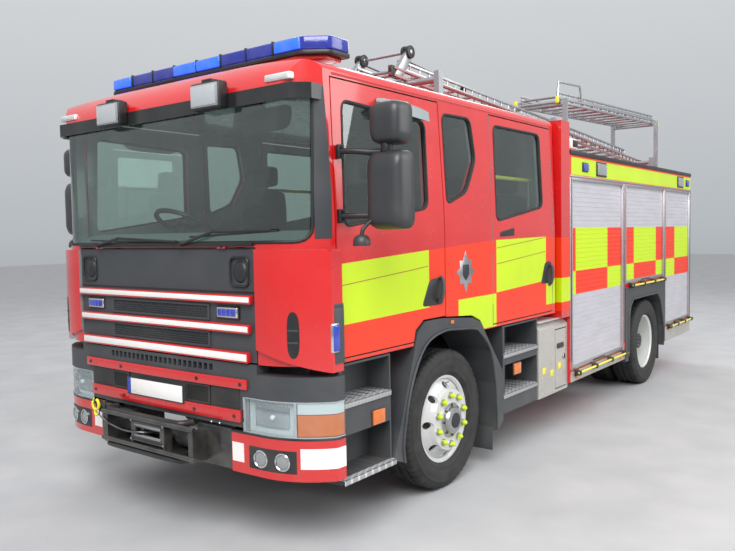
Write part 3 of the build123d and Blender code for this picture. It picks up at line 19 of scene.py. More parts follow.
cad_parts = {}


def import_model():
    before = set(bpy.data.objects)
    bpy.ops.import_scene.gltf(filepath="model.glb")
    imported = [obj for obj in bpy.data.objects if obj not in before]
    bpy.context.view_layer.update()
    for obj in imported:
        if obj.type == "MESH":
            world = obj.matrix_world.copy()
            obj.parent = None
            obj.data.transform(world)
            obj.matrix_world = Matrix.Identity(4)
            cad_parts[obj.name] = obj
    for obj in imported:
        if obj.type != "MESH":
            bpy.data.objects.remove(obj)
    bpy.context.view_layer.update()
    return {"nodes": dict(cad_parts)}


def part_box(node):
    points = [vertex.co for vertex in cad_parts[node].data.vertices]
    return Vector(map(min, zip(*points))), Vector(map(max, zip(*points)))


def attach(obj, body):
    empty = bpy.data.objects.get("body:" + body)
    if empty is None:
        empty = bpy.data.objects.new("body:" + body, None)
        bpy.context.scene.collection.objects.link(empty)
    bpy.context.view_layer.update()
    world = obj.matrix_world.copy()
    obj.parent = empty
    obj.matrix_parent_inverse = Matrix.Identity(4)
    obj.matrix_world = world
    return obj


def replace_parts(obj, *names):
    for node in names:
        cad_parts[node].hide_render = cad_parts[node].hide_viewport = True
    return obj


LOG = logging.getLogger("fire_engine")
MM = 0.001
GRILLE_Y = -3760.0
Point = tuple[float, float, float]
Span = tuple[float, float]
Outline = Sequence[tuple[float, float]]


class Side(Enum):
    """Side of the vehicle that a piece belongs to."""

    LEFT = 1
    RIGHT = -1

    @property
    def word(self) -> str:
        """The side's name as it stands in node and body names."""
        return self.name.lower()


def at(x: float, s: float, z: float) -> Vector:
    """Return the scene's point for an (x, station, z) in millimetres."""
    return Vector((x * MM, (s + GRILLE_Y) * MM, z * MM))


def back(spot: Vector) -> Point:
    """Return the (x, station, z) in millimetres of a point in the scene."""
    return spot.x / MM, spot.y / MM - GRILLE_Y, spot.z / MM


def linear(code: str) -> tuple[float, float, float, float]:
    """Turn an sRGB hex code into a linear colour.

    Args:
        code: Six hex digits, such as "c8281e".

    Returns:
        Linear red, green, blue and an alpha of one.
    """
    parts = [int(code[i:i + 2], 16) / 255 for i in (0, 2, 4)]
    red, green, blue = (p / 12.92 if p <= 0.04045 else ((p + 0.055) / 1.055) ** 2.4 for p in parts)
    return red, green, blue, 1.0


# Materials


def cells(size: float) -> float:
    """Return the scale of a noise whose features are about this many millimetres across."""
    return 1 / (size * MM)


def bands(size: float) -> float:
    """Return the scale of a wave texture that has a band every so many millimetres."""
    return math.tau / 20 / (size * MM)


class Graph:
    """The nodes of one material."""

    def __init__(self, name: str, world: bpy.types.World | None = None) -> None:
        """Start an empty node tree.

        Args:
            name: The material's name.
            world: A world that gets the nodes, or None for a new material.
        """
        self.material = world or bpy.data.materials.new(name)
        self.material.use_nodes = True
        self.tree = self.material.node_tree
        self.tree.nodes.clear()
        self.place = self.node("TexCoord", output="Object")

    def node(self, kind: str, inputs: Sequence[Any] | dict[Any, Any] = (), output: int | str = 0,
             **settings: Any) -> Any:
        """Add a node with its settings and links.

        Args:
            kind: The node's type, without its first word.
            inputs: A value or a link for each socket, in their order or by index or name.
            output: Index or name of the output that is wanted.
            settings: The node's own properties.

        Returns:
            The wanted output, or None where the node has no outputs.
        """
        made = self.tree.nodes.new(f"ShaderNode{kind}")
        for key, value in settings.items():
            setattr(made, key, value)
        for key, value in inputs.items() if isinstance(inputs, dict) else enumerate(inputs):
            if isinstance(value, bpy.types.NodeSocket):
                self.tree.links.new(value, made.inputs[key])
            else:
                made.inputs[key].default_value = value
        return made.outputs[output] if made.outputs else None

    def axes(self) -> tuple[Any, ...]:
        """Return the object's x, y and z as separate values."""
        return tuple(self.node("SeparateXYZ", (self.place,)).node.outputs)

    def clouds(self, size: float, detail: float, low: float, high: float, least: float = 0.0, most: float = 1.0,
               where: Any = None) -> Any:
        """Add soft clouds, as wear, dirt and handling leave them.

        Args:
            size: Width of a cloud in millimetres.
            detail: How many finer layers it has.
            low: Noise value where the clouds start.
            high: Noise value where they are full.
            least: Value outside the clouds.
            most: Value inside them.
            where: Coordinates to read, or None for the object's own.

        Returns:
            The value's socket.
        """
        noise = self.node("TexNoise", {"Vector": where or self.place, "Scale": cells(size), "Detail": detail})
        return self.node("MapRange", (noise, low, high, least, most))

    def grain(self, size: float, detail: float, strength: float, depth: float, where: Any = None) -> Any:
        """Add a fine uneven relief.

        Args:
            size: Width of a grain in millimetres.
            detail: How many finer layers it has.
            strength: Share of the relief that is seen.
            depth: Its depth in millimetres.
            where: Coordinates to read, or None for the object's own.

        Returns:
            The normal's socket.
        """
        noise = self.node("TexNoise", {"Vector": where or self.place, "Scale": cells(size), "Detail": detail})
        return self.node("Bump", {"Strength": strength, "Distance": depth * MM, "Height": noise})

    def inward(self, middle: Point) -> Any:
        """Find the faces that look into a room.

        Args:
            middle: The room's middle in metres.

        Returns:
            One where a face looks towards the middle, and nought elsewhere.
        """
        away = self.node("VectorMath", (self.place, middle), operation="SUBTRACT")
        normal = self.node("TexCoord", output="Normal")
        facing = self.node("VectorMath", (away, normal), "Value", operation="DOT_PRODUCT")
        return self.node("Math", (facing, 0.0), operation="LESS_THAN")

    def finish(self, inputs: dict[str, Any], shader: Any = None) -> bpy.types.Material:
        """Join the shader to the output.

        Args:
            inputs: What goes into a principled shader's sockets, by name.
            shader: Another shader that stands in for it.

        Returns:
            The finished material.
        """
        self.node("OutputMaterial", (shader or self.node("BsdfPrincipled", inputs),))
        return self.material


@dataclass(frozen=True)
class Patch:
    """An area of film on the vehicle's sides, by station and height in millimetres."""

    start: float
    end: float
    low: float
    high: float
    code: str
    low_rise: float = 0.0
    high_rise: float = 0.0

    def mask(self, graph: Graph, y: Any, z: Any) -> Any:
        """Tell the area from what lies round it.

        Args:
            graph: The material's nodes.
            y: The object's y.
            z: The object's z.

        Returns:
            One inside the area and nought outside it.
        """
        y0, y1 = (self.start + GRILLE_Y) * MM, (self.end + GRILLE_Y) * MM
        run = graph.node("MapRange", (y, y0, y1))
        low = graph.node("Math", (run, self.low_rise * MM, self.low * MM), operation="MULTIPLY_ADD")
        high = graph.node("Math", (run, self.high_rise * MM, self.high * MM), operation="MULTIPLY_ADD")
        inside: Any = 1.0
        for a, b in ((y, y0), (y1, y), (z, low), (high, z)):
            beyond = graph.node("Math", (a, b), operation="GREATER_THAN")
            inside = graph.node("Math", (inside, beyond), operation="MULTIPLY")
        return inside


# Colours of the enamel and of the two fluorescent films
RED = "c61a1b"
FLAME = "e03004"
LIME = "bcd800"
# Least distances from the middle plane, in metres, at which film lies on panels and on shutters
PANEL_SKIN = 1.19
SHUTTER_SKIN = 1.15
# The cab's inner faces look towards this point, in metres
CABIN_MIDDLE = (0.0, -2.1, 1.9)
SKIRT = "a19c95"
CAB_PATCHES = (
    Patch(286, 2112, 1062, 1600, FLAME, high_rise=100),
    Patch(2112, 3440, 1062, 1700, FLAME, high_rise=12),
    Patch(291, 1194, 1262, 1600, LIME, 20, 52),
    Patch(2116, 2994, 1309, 1699, LIME, 36, 12),
    Patch(1560, 2110, 1062, 1300, LIME, high_rise=3),
    Patch(2998, 3440, 1140, 1350, LIME),
)
BODY_PATCHES = (
    Patch(3100, 3446, 1062, 1700, FLAME),
    Patch(3100, 3446, 1140, 1350, LIME),
    Patch(3446, 4900, 330, 497, SKIRT),
    Patch(6298, 7470, 330, 581, SKIRT),
    Patch(3440, 7460, 2226, 2432, FLAME),
    Patch(3470, 7450, 2252, 2404, LIME),
)
CHECKER_COLUMNS = (2992, 3606, 4420, 5226, 6011, 6781, 7484)
CHECKER_ROWS = (1183, 1393, 1780)


def checker_patches() -> tuple[Patch, ...]:
    """Work out the two rows of blocks on the side shutters.

    Returns:
        The blocks, in the two films' colours by turns.
    """
    found = []
    for i, (start, end) in enumerate(zip(CHECKER_COLUMNS, CHECKER_COLUMNS[1:])):
        upper, lower = (FLAME, LIME) if i % 2 == 0 else (LIME, FLAME)
        found.append(Patch(start, end, CHECKER_ROWS[1], CHECKER_ROWS[2], upper))
        found.append(Patch(start, end, CHECKER_ROWS[0], CHECKER_ROWS[1], lower))
    return tuple(found)


def lay_film(graph: Graph, colour: Any, patches: Sequence[Patch], skin: float) -> tuple[Any, Any]:
    """Lay areas of film over a colour on the vehicle's two sides.

    Args:
        graph: The material's nodes.
        colour: The colour underneath.
        patches: The areas, a later one over an earlier one.
        skin: Least distance from the middle plane, in metres, which keeps inner faces bare.

    Returns:
        The colour, and a value that is one where there is film.
    """
    x, y, z = graph.axes()
    outer = graph.node("Math", (graph.node("Math", (x,), operation="ABSOLUTE"), skin), operation="GREATER_THAN")
    film: Any = 0.0
    for patch in patches:
        mask = graph.node("Math", (patch.mask(graph, y, z), outer), operation="MULTIPLY")
        colour = graph.node("Mix", {0: mask, 6: colour, 7: linear(patch.code)}, 2, data_type="RGBA")
        film = graph.node("Math", (film, mask), operation="MAXIMUM")
    return colour, film


@dataclass(frozen=True)
class Enamel:
    """Two-pack enamel sprayed on panels, with areas of self-adhesive film.

    Its clear coat gives sharp highlights that the orange peel bends a little. The film has
    hardly any coat and looks flatter, and road dust greys what is near the ground.
    """

    name: str
    code: str
    patches: Sequence[Patch] = ()
    roughness: float = 0.24
    dust: float = 0.12
    lined: Point | None = None

    def material(self) -> bpy.types.Material:
        """Make the material.

        Returns:
            The new material.
        """
        graph = Graph(self.name)
        colour, film = lay_film(graph, linear(self.code), self.patches, PANEL_SKIN)
        if self.lined:
            # Grey vinyl lining on the room's inner faces
            colour = graph.node("Mix", {0: graph.inward(self.lined), 6: colour, 7: linear("8b8d8f")}, 2,
                                data_type="RGBA")
        tone = graph.clouds(588, 4.0, 0.3, 0.7, 0.93, 1.05)
        shade = graph.node("HueSaturation", {"Color": colour, "Value": tone})
        low = graph.node("MapRange", (graph.axes()[2], 0.15, 1.15, self.dust, 0.0))
        speck = graph.node("Math", (low, graph.clouds(111, 6.0, 0.35, 0.75)), operation="MULTIPLY")
        dusty = graph.node("Mix", {0: speck, 6: shade, 7: linear("8a8378")}, 2, data_type="RGBA")
        rough = graph.clouds(167, 5.0, 0.3, 0.7, self.roughness - 0.05, self.roughness + 0.07)
        coat: Any = 0.8
        if self.patches:
            rough = graph.node("Math", (film, 0.12, rough), operation="MULTIPLY_ADD")
            coat = graph.node("Math", (film, -0.65, coat), operation="MULTIPLY_ADD")
        # Orange peel, drawn at 3.85 mm because the real 1 mm is too fine to show
        peel = graph.grain(3.85, 1.0, 0.06, 0.4)
        return graph.finish({"Base Color": dusty, "Roughness": rough, "Normal": peel, "Coat Weight": coat,
                             "Coat Roughness": 0.06})


@dataclass(frozen=True)
class Moulding:
    """Moulded plastic or rubber with a fine spark-eroded grain.

    The grain breaks highlights into a soft sheen, and dust in it looks paler near the ground.
    """

    name: str
    code: str
    roughness: float

    def material(self) -> bpy.types.Material:
        """Make the material.

        Returns:
            The new material.
        """
        graph = Graph(self.name)
        cloud = graph.clouds(250, 5.0, 0.3, 0.75)
        low = graph.node("MapRange", (graph.axes()[2], 0.2, 1.4, 0.22, 0.06))
        dust = graph.node("Math", (cloud, low), operation="MULTIPLY")
        pale = graph.node("Mix", {0: dust, 6: linear(self.code), 7: linear("8f8a82")}, 2, data_type="RGBA")
        rough = graph.node("MapRange", (cloud, 0.0, 1.0, self.roughness - 0.07, self.roughness + 0.1))
        # Grain, drawn at 1.43 mm because the real 0.2 mm is too fine to show
        grain = graph.grain(1.43, 2.0, 0.25, 0.5)
        return graph.finish({"Base Color": pale, "Roughness": rough, "Normal": grain})


@dataclass(frozen=True)
class BareMetal:
    """Drawn, plated or cast metal with faint lines and handling marks.

    The lines stretch its reflections along the vehicle, and the marks dull them in clouds.
    """

    name: str
    code: str
    roughness: float

    def material(self) -> bpy.types.Material:
        """Make the material.

        Returns:
            The new material.
        """
        graph = Graph(self.name)
        # Lines 25 mm long and 0.83 mm wide, wider than real ones, which wouldn't show
        along = graph.node("Mapping", {"Vector": graph.place, "Scale": (30.0, 1.0, 30.0)})
        lines = graph.clouds(25, 3.0, 0.3, 0.7, self.roughness * 0.75, self.roughness * 1.25, along)
        wear = graph.clouds(143, 6.0, 0.35, 0.8, 0.0, 0.25)
        tone = graph.node("Mix", {0: wear, 6: linear(self.code), 7: linear("6f6f70")}, 2, data_type="RGBA")
        dull = graph.clouds(143, 6.0, 0.4, 0.8, 0.0, self.roughness / 2)
        rough = graph.node("Math", (lines, dull), operation="ADD")
        relief = graph.grain(25, 3.0, 0.08, 0.3, along)
        return graph.finish({
            "Base Color": tone, "Metallic": 1.0, "Roughness": rough, "Normal": relief})


@dataclass(frozen=True)
class TyreRubber:
    """Vulcanised black rubber, dull and greyed by the road."""

    name: str = "vulcanised_rubber_tyre"

    def material(self) -> bpy.types.Material:
        """Make the material.

        Returns:
            The new material.
        """
        graph = Graph(self.name)
        spots = graph.clouds(71.4, 8.0, 0.35, 0.75)
        grey = graph.node("Math", (spots, 0.35), operation="MULTIPLY")
        tone = graph.node("Mix", {0: grey, 6: linear("1b1b1c"), 7: linear("55524e")}, 2, data_type="RGBA")
        rough = graph.node("MapRange", (spots, 0.0, 1.0, 0.62, 0.85))
        # Scuffed skin, drawn at 3.33 mm because the real grit is too fine to show
        skin = graph.grain(3.33, 4.0, 0.2, 0.6)
        return graph.finish({"Base Color": tone, "Roughness": rough, "Normal": skin})


@dataclass(frozen=True)
class ChequerPlate:
    """Rolled aluminium tread plate: bright raised bars in two directions on a duller ground."""

    name: str = "rolled_aluminium_chequer_plate"
    bar_pitch: float = 21.74
    bar_length: float = 45.45

    def material(self) -> bpy.types.Material:
        """Make the material.

        Returns:
            The new material.
        """
        graph = Graph(self.name)
        spacing = (cells(self.bar_pitch), cells(self.bar_length), 1.0)
        bars = []
        for turn in (0.785, -0.785):
            turned = graph.node("Mapping", {"Vector": graph.place, "Rotation": (0.0, 0.0, turn),
                                            "Scale": spacing})
            cell = graph.node("TexVoronoi", {"Vector": turned, "Scale": 1.0, "Randomness": 0.0}, "Distance",
                              feature="F1", voronoi_dimensions="2D")
            bars.append(graph.node("MapRange", (cell, 0.18, 0.36, 1.0, 0.0)))
        height = graph.node("Math", bars, operation="MAXIMUM")
        tone = graph.node("Mix", {0: height, 6: linear("a9aaac"), 7: linear("e2e3e4")}, 2, data_type="RGBA")
        rough = graph.clouds(111, 6.0, 0.3, 0.8, 0.3, 0.5)
        relief = graph.node("Bump", {"Strength": 0.7, "Distance": 0.002, "Height": height})
        return graph.finish({
            "Base Color": tone, "Metallic": 0.45, "Roughness": rough, "Normal": relief})


@dataclass(frozen=True)
class ShutterSlats:
    """Anodised aluminium slats, satin and faintly violet, with blocks of film on the sides."""

    name: str = "anodised_aluminium_slats"

    def material(self) -> bpy.types.Material:
        """Make the material.

        Returns:
            The new material.
        """
        graph = Graph(self.name)
        # Clouds of wear 333 mm long and 56 mm high, along the slats
        flat = graph.node("Mapping", {"Vector": graph.place, "Scale": (1.0, 1.0, 6.0)})
        wear = graph.clouds(333, 6.0, 0.3, 0.75, where=flat)
        bare = graph.node("Mix", {0: wear, 6: linear("c6c3c9"), 7: linear("b9b6bc")}, 2, data_type="RGBA")
        colour, film = lay_film(graph, bare, checker_patches(), SHUTTER_SKIN)
        metallic = graph.node("Math", (film, -0.25, 0.25), operation="MULTIPLY_ADD")
        rough = graph.node("MapRange", (wear, 0.0, 1.0, 0.34, 0.46))
        # Drawing lines 5.6 mm wide, coarser than the real ones, which wouldn't show
        drawn = graph.node("Mapping", {"Vector": graph.place, "Scale": (1.0, 0.05, 1.0)})
        relief = graph.grain(5.56, 3.0, 0.1, 0.4, drawn)
        return graph.finish({
            "Base Color": colour, "Metallic": metallic, "Roughness": rough, "Normal": relief})


@dataclass(frozen=True)
class Pane:
    """Float glass or clear acrylic: it shows what is behind it and mirrors at a low angle."""

    name: str
    code: str
    least: float

    def material(self) -> bpy.types.Material:
        """Make the material.

        Returns:
            The new material.
        """
        graph = Graph(self.name)
        mirror = graph.node("BsdfPrincipled", {"Base Color": linear("eef4f2"), "Roughness": 0.015,
                                               "Metallic": 1.0})
        clear = graph.node("BsdfTransparent", (linear(self.code),))
        rising = graph.node("MapRange", (graph.node("Fresnel", (1.5,)), 0.0, 1.0, self.least, 1.0))
        smear = graph.clouds(333, 6.0, 0.4, 0.8, 0.0, 0.03)
        mirrored = graph.node("Math", (rising, smear), operation="ADD", use_clamp=True)
        outer = graph.node("Math", (1.0, graph.node("NewGeometry", output="Backfacing")), operation="SUBTRACT")
        factor = graph.node("Math", (mirrored, outer), operation="MULTIPLY")
        return graph.finish({}, graph.node("MixShader", (factor, clear, mirror)))


@dataclass(frozen=True)
class Lens:
    """Injection-moulded polycarbonate lens, whose ribs break up the light behind it."""

    name: str
    code: str
    glow: float
    clear: float
    rib_pitch: float = 5.71

    def material(self) -> bpy.types.Material:
        """Make the material.

        Returns:
            The new material.
        """
        graph = Graph(self.name)
        ribs = graph.node("TexWave", {"Vector": graph.place, "Scale": bands(self.rib_pitch)}, "Fac",
                          bands_direction="Z")
        haze = graph.clouds(83.3, 3.0, 0.3, 0.7, 0.0, 0.05)
        tone = graph.node("Mix", {0: haze, 6: linear(self.code), 7: linear("ffffff")}, 2, data_type="RGBA")
        relief = graph.node("Bump", {"Strength": 0.12, "Distance": 0.0006, "Height": ribs})
        return graph.finish({
            "Base Color": tone, "Roughness": 0.09, "Transmission Weight": self.clear, "Coat Weight": 0.6,
            "Emission Color": linear(self.code), "Emission Strength": self.glow, "Normal": relief})


@dataclass(frozen=True)
class SeatCloth:
    """Woven polyester, dark with a pale fleck where its threads cross."""

    name: str = "woven_polyester_seat_cloth"
    thread: float = 0.98

    def material(self) -> bpy.types.Material:
        """Make the material.

        Returns:
            The new material.
        """
        graph = Graph(self.name)
        weave = [graph.node("TexWave", {"Vector": graph.place, "Scale": bands(self.thread)}, "Fac",
                            bands_direction=direction) for direction in ("Y", "Z")]
        height = graph.node("Math", weave, operation="MULTIPLY")
        tone = graph.node("Mix", {0: height, 6: linear("232429"), 7: linear("4a4c55")}, 2, data_type="RGBA")
        relief = graph.node("Bump", {"Strength": 0.4, "Distance": 0.0008, "Height": height})
        return graph.finish({
            "Base Color": tone, "Roughness": 0.9, "Sheen Weight": 0.3, "Normal": relief})


class Kit:
    """Makes the vehicle's materials, each once."""

    def __init__(self) -> None:
        """Make every material."""
        # Sprayed enamel: wet gloss on the panels, satin on the chassis
        self.red = Enamel("sprayed_enamel_red_cab", RED, CAB_PATCHES, lined=CABIN_MIDDLE).material()
        self.body_red = Enamel("sprayed_enamel_red_body", RED, BODY_PATCHES).material()
        self.red_trim = Enamel("sprayed_enamel_red", RED).material()
        self.white = Enamel("sprayed_enamel_white", "e9e6e2").material()
        self.yellow = Enamel("sprayed_enamel_yellow", "e8dc10").material()
        self.maroon = Enamel("sprayed_enamel_maroon", "7d2a22").material()
        self.silver = Enamel("sprayed_enamel_silver", "c9cac8", roughness=0.38).material()
        self.black = Enamel("chassis_black_enamel", "17181a", roughness=0.42, dust=0.35).material()
        # Pale enamel on the headlamps' reflector plate and ribs: painted reflection, bright whatever the light
        self.reflector = Enamel("lacquered_reflector", "d9dbdc", dust=0.0).material()
        self.locker_paint = Enamel("sprayed_enamel_grey", "a8a39c", dust=0.25).material()
        # Moulded plastics and rubber: an even grain, from dull rubber to polished acrylic
        self.trim = Moulding("moulded_abs_dark_grey", "35383c", 0.5).material()
        self.soft_black = Moulding("moulded_abs_black", "141517", 0.42).material()
        self.skirt = Moulding("moulded_abs_grey_beige", "8b8680", 0.55).material()
        self.gasket = Moulding("extruded_rubber_gasket", "0b0b0c", 0.6).material()
        self.red_line = Moulding("shadow_of_pressed_line", "8c1a10", 0.4).material()
        self.yellow_cap = Moulding("moulded_polyethylene_yellow", "c8dc10", 0.45).material()
        self.blue_paint = Moulding("printed_blue_film", "1c3c9c", 0.4).material()
        self.glow_bulb = Moulding("frosted_bulb_glass", "e8ecf0", 0.2).material()
        self.bar_floor = Moulding("moulded_abs_blue_floor", "3a4f9a", 0.4).material()
        self.mirror_black = Moulding("moulded_abs_mirror_housing", "2a2c2f", 0.36).material()
        self.dash = Moulding("vinyl_dashboard_skin", "7b8486", 0.6).material()
        self.visor = Moulding("moulded_acrylic_black", "1b1d1f", 0.12).material()
        self.smoke = Moulding("moulded_acrylic_smoked", "8f9a9d", 0.16).material()
        # Bare metals: clean mirrors where plated, streaked where drawn, dull where cast
        self.steel = BareMetal("turned_stainless_steel", "b8b8ba", 0.24).material()
        self.chrome = BareMetal("chrome_plate", "dcdcdf", 0.08).material()
        self.aluminium = BareMetal("drawn_aluminium", "bdbec0", 0.36).material()
        self.dark_metal = BareMetal("phosphated_steel", "4a4b4e", 0.42).material()
        self.mirror = BareMetal("silvered_mirror", "dfe4e6", 0.02).material()
        self.engine = BareMetal("cast_iron_engine", "6b6f70", 0.6).material()
        self.lamp_housing = BareMetal("aluminised_lamp_housing", "d4d6d8", 0.22).material()
        self.rope = BareMetal("galvanised_steel_rope", "85868a", 0.4).material()
        self.winch_grey = BareMetal("cast_aluminium_winch", "a2a39f", 0.45).material()
        self.tread = ChequerPlate().material()
        self.shutter = ShutterSlats().material()
        # Glass and lenses: clear panes, and ribbed lenses that seem lit from behind
        self.glass = Pane("toughened_float_glass", "dfe9e5", 0.1).material()
        self.clear_cover = Pane("moulded_clear_lamp_cover", "f4f8f8", 0.06).material()
        self.clear_lens = Lens("moulded_polycarbonate_clear", "e8ecee", 0.05, 0.75).material()
        self.blue_lens = Lens("moulded_polycarbonate_blue", "0826a8", 0.1, 0.45).material()
        self.red_lens = Lens("moulded_polycarbonate_red", "b00d0a", 0.25, 0.2).material()
        self.amber_lens = Lens("moulded_polycarbonate_amber", "e0700c", 0.14, 0.25).material()
        self.blue_glow = Lens("moulded_polycarbonate_blue_lamp", "0a28a0", 0.05, 0.0).material()
        self.lamp_ribs = Lens("moulded_polycarbonate_ribbed", "dfe4e6", 0.12, 0.35).material()
        self.bright_blue = Lens("moulded_polycarbonate_blue_lit", "1560f0", 0.5, 0.1).material()
        self.rubber = TyreRubber().material()
        self.cloth = SeatCloth().material()


# Shapes


class Piece:
    """One visible piece, gathered in millimetres and built as an object."""

    def __init__(self, name: str, *materials: bpy.types.Material) -> None:
        """Start an empty piece with its materials.

        Args:
            name: The piece's name.
            materials: Its materials, in the order of their numbers.
        """
        self.name = name
        self.materials = materials
        self.mesh = bmesh.new()
        self.index = 0

    def use(self, index: int) -> "Piece":
        """Give what is added next the material of this index."""
        self.index = index
        return self

    def add(self, part: bmesh.types.BMesh) -> None:
        """Add a part whose faces already have their materials.

        Args:
            part: The part's mesh, which is freed.
        """
        holder = bpy.data.meshes.new("part")
        part.to_mesh(holder)
        part.free()
        self.mesh.from_mesh(holder)
        bpy.data.meshes.remove(holder)

    def take(self, part: bmesh.types.BMesh, bevel: float = 0.0, segments: int = 2) -> None:
        """Round a part's sharp edges and add it to the piece.

        Args:
            part: The part's mesh, in metres.
            bevel: Width of the bevel.
            segments: Steps across the bevel.
        """
        bmesh.ops.recalc_face_normals(part, faces=part.faces)
        if bevel > 0:
            sharp = [e for e in part.edges if e.is_manifold and e.calc_face_angle() > 0.5]
            bmesh.ops.bevel(part, geom=sharp, offset=bevel * MM, segments=segments, profile=0.5,
                            affect="EDGES", clamp_overlap=True, material=-1)
        for face in part.faces:
            face.material_index = self.index
        self.add(part)

    def box(self, x: Span, s: Span, z: Span, bevel: float = 0.0, segments: int = 2) -> None:
        """Add a block given by its spans.

        Args:
            x: Span across.
            s: Span of stations.
            z: Span of heights.
            bevel: Width of the bevel.
            segments: Steps across the bevel.
        """
        part = bmesh.new()
        bmesh.ops.create_cube(part, size=1.0)
        middle = at(sum(x) / 2, sum(s) / 2, sum(z) / 2)
        size = Vector((abs(x[1] - x[0]), abs(s[1] - s[0]), abs(z[1] - z[0]))) * MM
        bmesh.ops.transform(part, matrix=Matrix.LocRotScale(middle, None, size), verts=part.verts)
        self.take(part, bevel, segments)

    def prism(self, corners: Iterable[Point], along: Point, bevel: float = 0.0, segments: int = 2) -> None:
        """Add a flat outline, pulled along a direction in millimetres.

        Args:
            corners: The outline's corners in order.
            along: How far it is pulled along x, y and z.
            bevel: Width of the bevel.
            segments: Steps across the bevel.
        """
        part = bmesh.new()
        ring = [part.verts.new(at(*c)) for c in corners]
        face = part.faces.new(ring)
        pulled = bmesh.ops.extrude_face_region(part, geom=[face])
        moved = [g for g in pulled["geom"] if isinstance(g, bmesh.types.BMVert)]
        bmesh.ops.translate(part, verts=moved, vec=Vector(along) * MM)
        self.take(part, bevel, segments)

    def rod(self, start: Point, end: Point, radius: float, tip: float | None = None, sides: int = 24,
            bevel: float = 0.0) -> None:
        """Add a round bar or cone from start to end.

        Args:
            start: Middle of one end.
            end: Middle of the other.
            radius: Radius at the start.
            tip: Radius at the end, or None for the same.
            sides: Number of flats.
            bevel: Width of the bevel.
        """
        a, b = at(*start), at(*end)
        part = bmesh.new()
        bmesh.ops.create_cone(part, cap_ends=True, segments=sides, radius1=radius * MM,
                              radius2=(radius if tip is None else tip) * MM, depth=(b - a).length)
        turn = Vector((0, 0, 1)).rotation_difference((b - a).normalized()).to_matrix().to_4x4()
        bmesh.ops.transform(part, matrix=Matrix.Translation((a + b) / 2) @ turn, verts=part.verts)
        self.take(part, bevel, 2)

    def lathe(self, profile: Outline, centre: Point, axis: Point, sides: int = 48) -> None:
        """Add a form turned from (radius, height) points about an axis.

        Args:
            profile: Points from the outside in.
            centre: Where height nought lies.
            axis: Direction of the heights.
            sides: Number of flats.
        """
        part = bmesh.new()
        points = [part.verts.new((r * MM, 0.0, h * MM)) for r, h in profile]
        edges = [part.edges.new(pair) for pair in zip(points, points[1:])]
        bmesh.ops.spin(part, geom=points + edges, cent=(0, 0, 0), axis=(0, 0, 1), angle=math.tau, steps=sides,
                       use_merge=True)
        bmesh.ops.remove_doubles(part, verts=part.verts, dist=1e-6)
        turn = Vector((0, 0, 1)).rotation_difference(Vector(axis).normalized()).to_matrix().to_4x4()
        bmesh.ops.transform(part, matrix=Matrix.Translation(at(*centre)) @ turn, verts=part.verts)
        self.take(part)

    def ball(self, centre: Point, size: Point, sides: int = 24) -> None:
        """Add an ellipsoid of the given radii.

        Args:
            centre: Its middle.
            size: Its radii.
            sides: Number of flats round it.
        """
        part = bmesh.new()
        bmesh.ops.create_uvsphere(part, u_segments=sides, v_segments=sides // 2, radius=1.0)
        matrix = Matrix.LocRotScale(at(*centre), None, Vector(size) * MM)
        bmesh.ops.transform(part, matrix=matrix, verts=part.verts)
        self.take(part)

    def skin(self, loops: Sequence[Sequence[Vector]], closed: bool = False) -> None:
        """Add a form that joins equal rings of points one after another.

        Args:
            loops: Each ring's points in metres.
            closed: Whether the last ring joins the first, or both ends are capped.
        """
        part = bmesh.new()
        rings = []
        for loop in loops:
            verts = [part.verts.new(p) for p in loop]
            rings.append((verts, [part.edges.new(pair) for pair in zip(verts, verts[1:] + verts[:1])]))
        following = rings[1:] + rings[:1] if closed else rings[1:]
        for (_, low), (_, high) in zip(rings, following):
            bmesh.ops.bridge_loops(part, edges=low + high)
        if not closed:
            part.faces.new(rings[0][0])
            part.faces.new(rings[-1][0])
        self.take(part)

    def loft(self, rows: Sequence[Sequence[Point]]) -> None:
        """Add a form through rings of points in millimetres."""
        self.skin([[at(*p) for p in row] for row in rows])

    def tube(self, path: Sequence[Point], radius: float, sides: int = 10, closed: bool = False) -> None:
        """Add a round tube that follows the points.

        Args:
            path: Points along its middle.
            radius: Its radius.
            sides: Number of flats.
            closed: Whether the last point joins the first.
        """
        line = [at(*p) for p in path]
        loops = []
        normal = None
        count = len(line)
        for i, here in enumerate(line):
            before = line[i - 1] if i or closed else here
            after = line[(i + 1) % count] if i + 1 < count or closed else here
            along = (after - before).normalized()
            if normal is None:
                normal = along.orthogonal().normalized()
            normal = (normal - along * normal.dot(along)).normalized()
            other = along.cross(normal)
            loops.append([here + radius * MM * (math.cos(a) * normal + math.sin(a) * other)
                          for a in (math.tau * k / sides for k in range(sides))])
        self.skin(loops, closed)

    def pillow(self, x: Span, s: Span, z: Span) -> None:
        """Add a crowned cushion with sewn channels across it.

        Args:
            x: Span across.
            s: Span of stations.
            z: Span of heights.
        """
        channels = 2
        part = bmesh.new()
        bmesh.ops.create_cube(part, size=2.0)
        bmesh.ops.subdivide_edges(part, edges=part.edges[:], cuts=11, use_grid_fill=True)
        long = 2 if z[1] - z[0] > s[1] - s[0] else 1
        for vert in part.verts:
            u = vert.co.copy()
            for i in range(3):
                j, k = (i + 1) % 3, (i + 2) % 3
                vert.co[i] = u[i] * (0.84 + 0.16 * (1 - u[j] ** 4) * (1 - u[k] ** 4))
            groove = sum(math.exp(-((u[long] - (2 * (n + 1) / (channels + 1) - 1)) / 0.07) ** 2)
                         for n in range(channels))
            other = 3 - long
            vert.co[other] *= 1 - 0.09 * groove * (abs(u[other]) > 0.9)
        bmesh.ops.smooth_vert(part, verts=part.verts, factor=0.5, use_axis_x=True, use_axis_y=True,
                              use_axis_z=True)
        middle = at(sum(x) / 2, sum(s) / 2, sum(z) / 2)
        size = Vector((x[1] - x[0], s[1] - s[0], z[1] - z[0])) * MM / 2
        bmesh.ops.transform(part, matrix=Matrix.LocRotScale(middle, None, size), verts=part.verts)
        self.take(part)

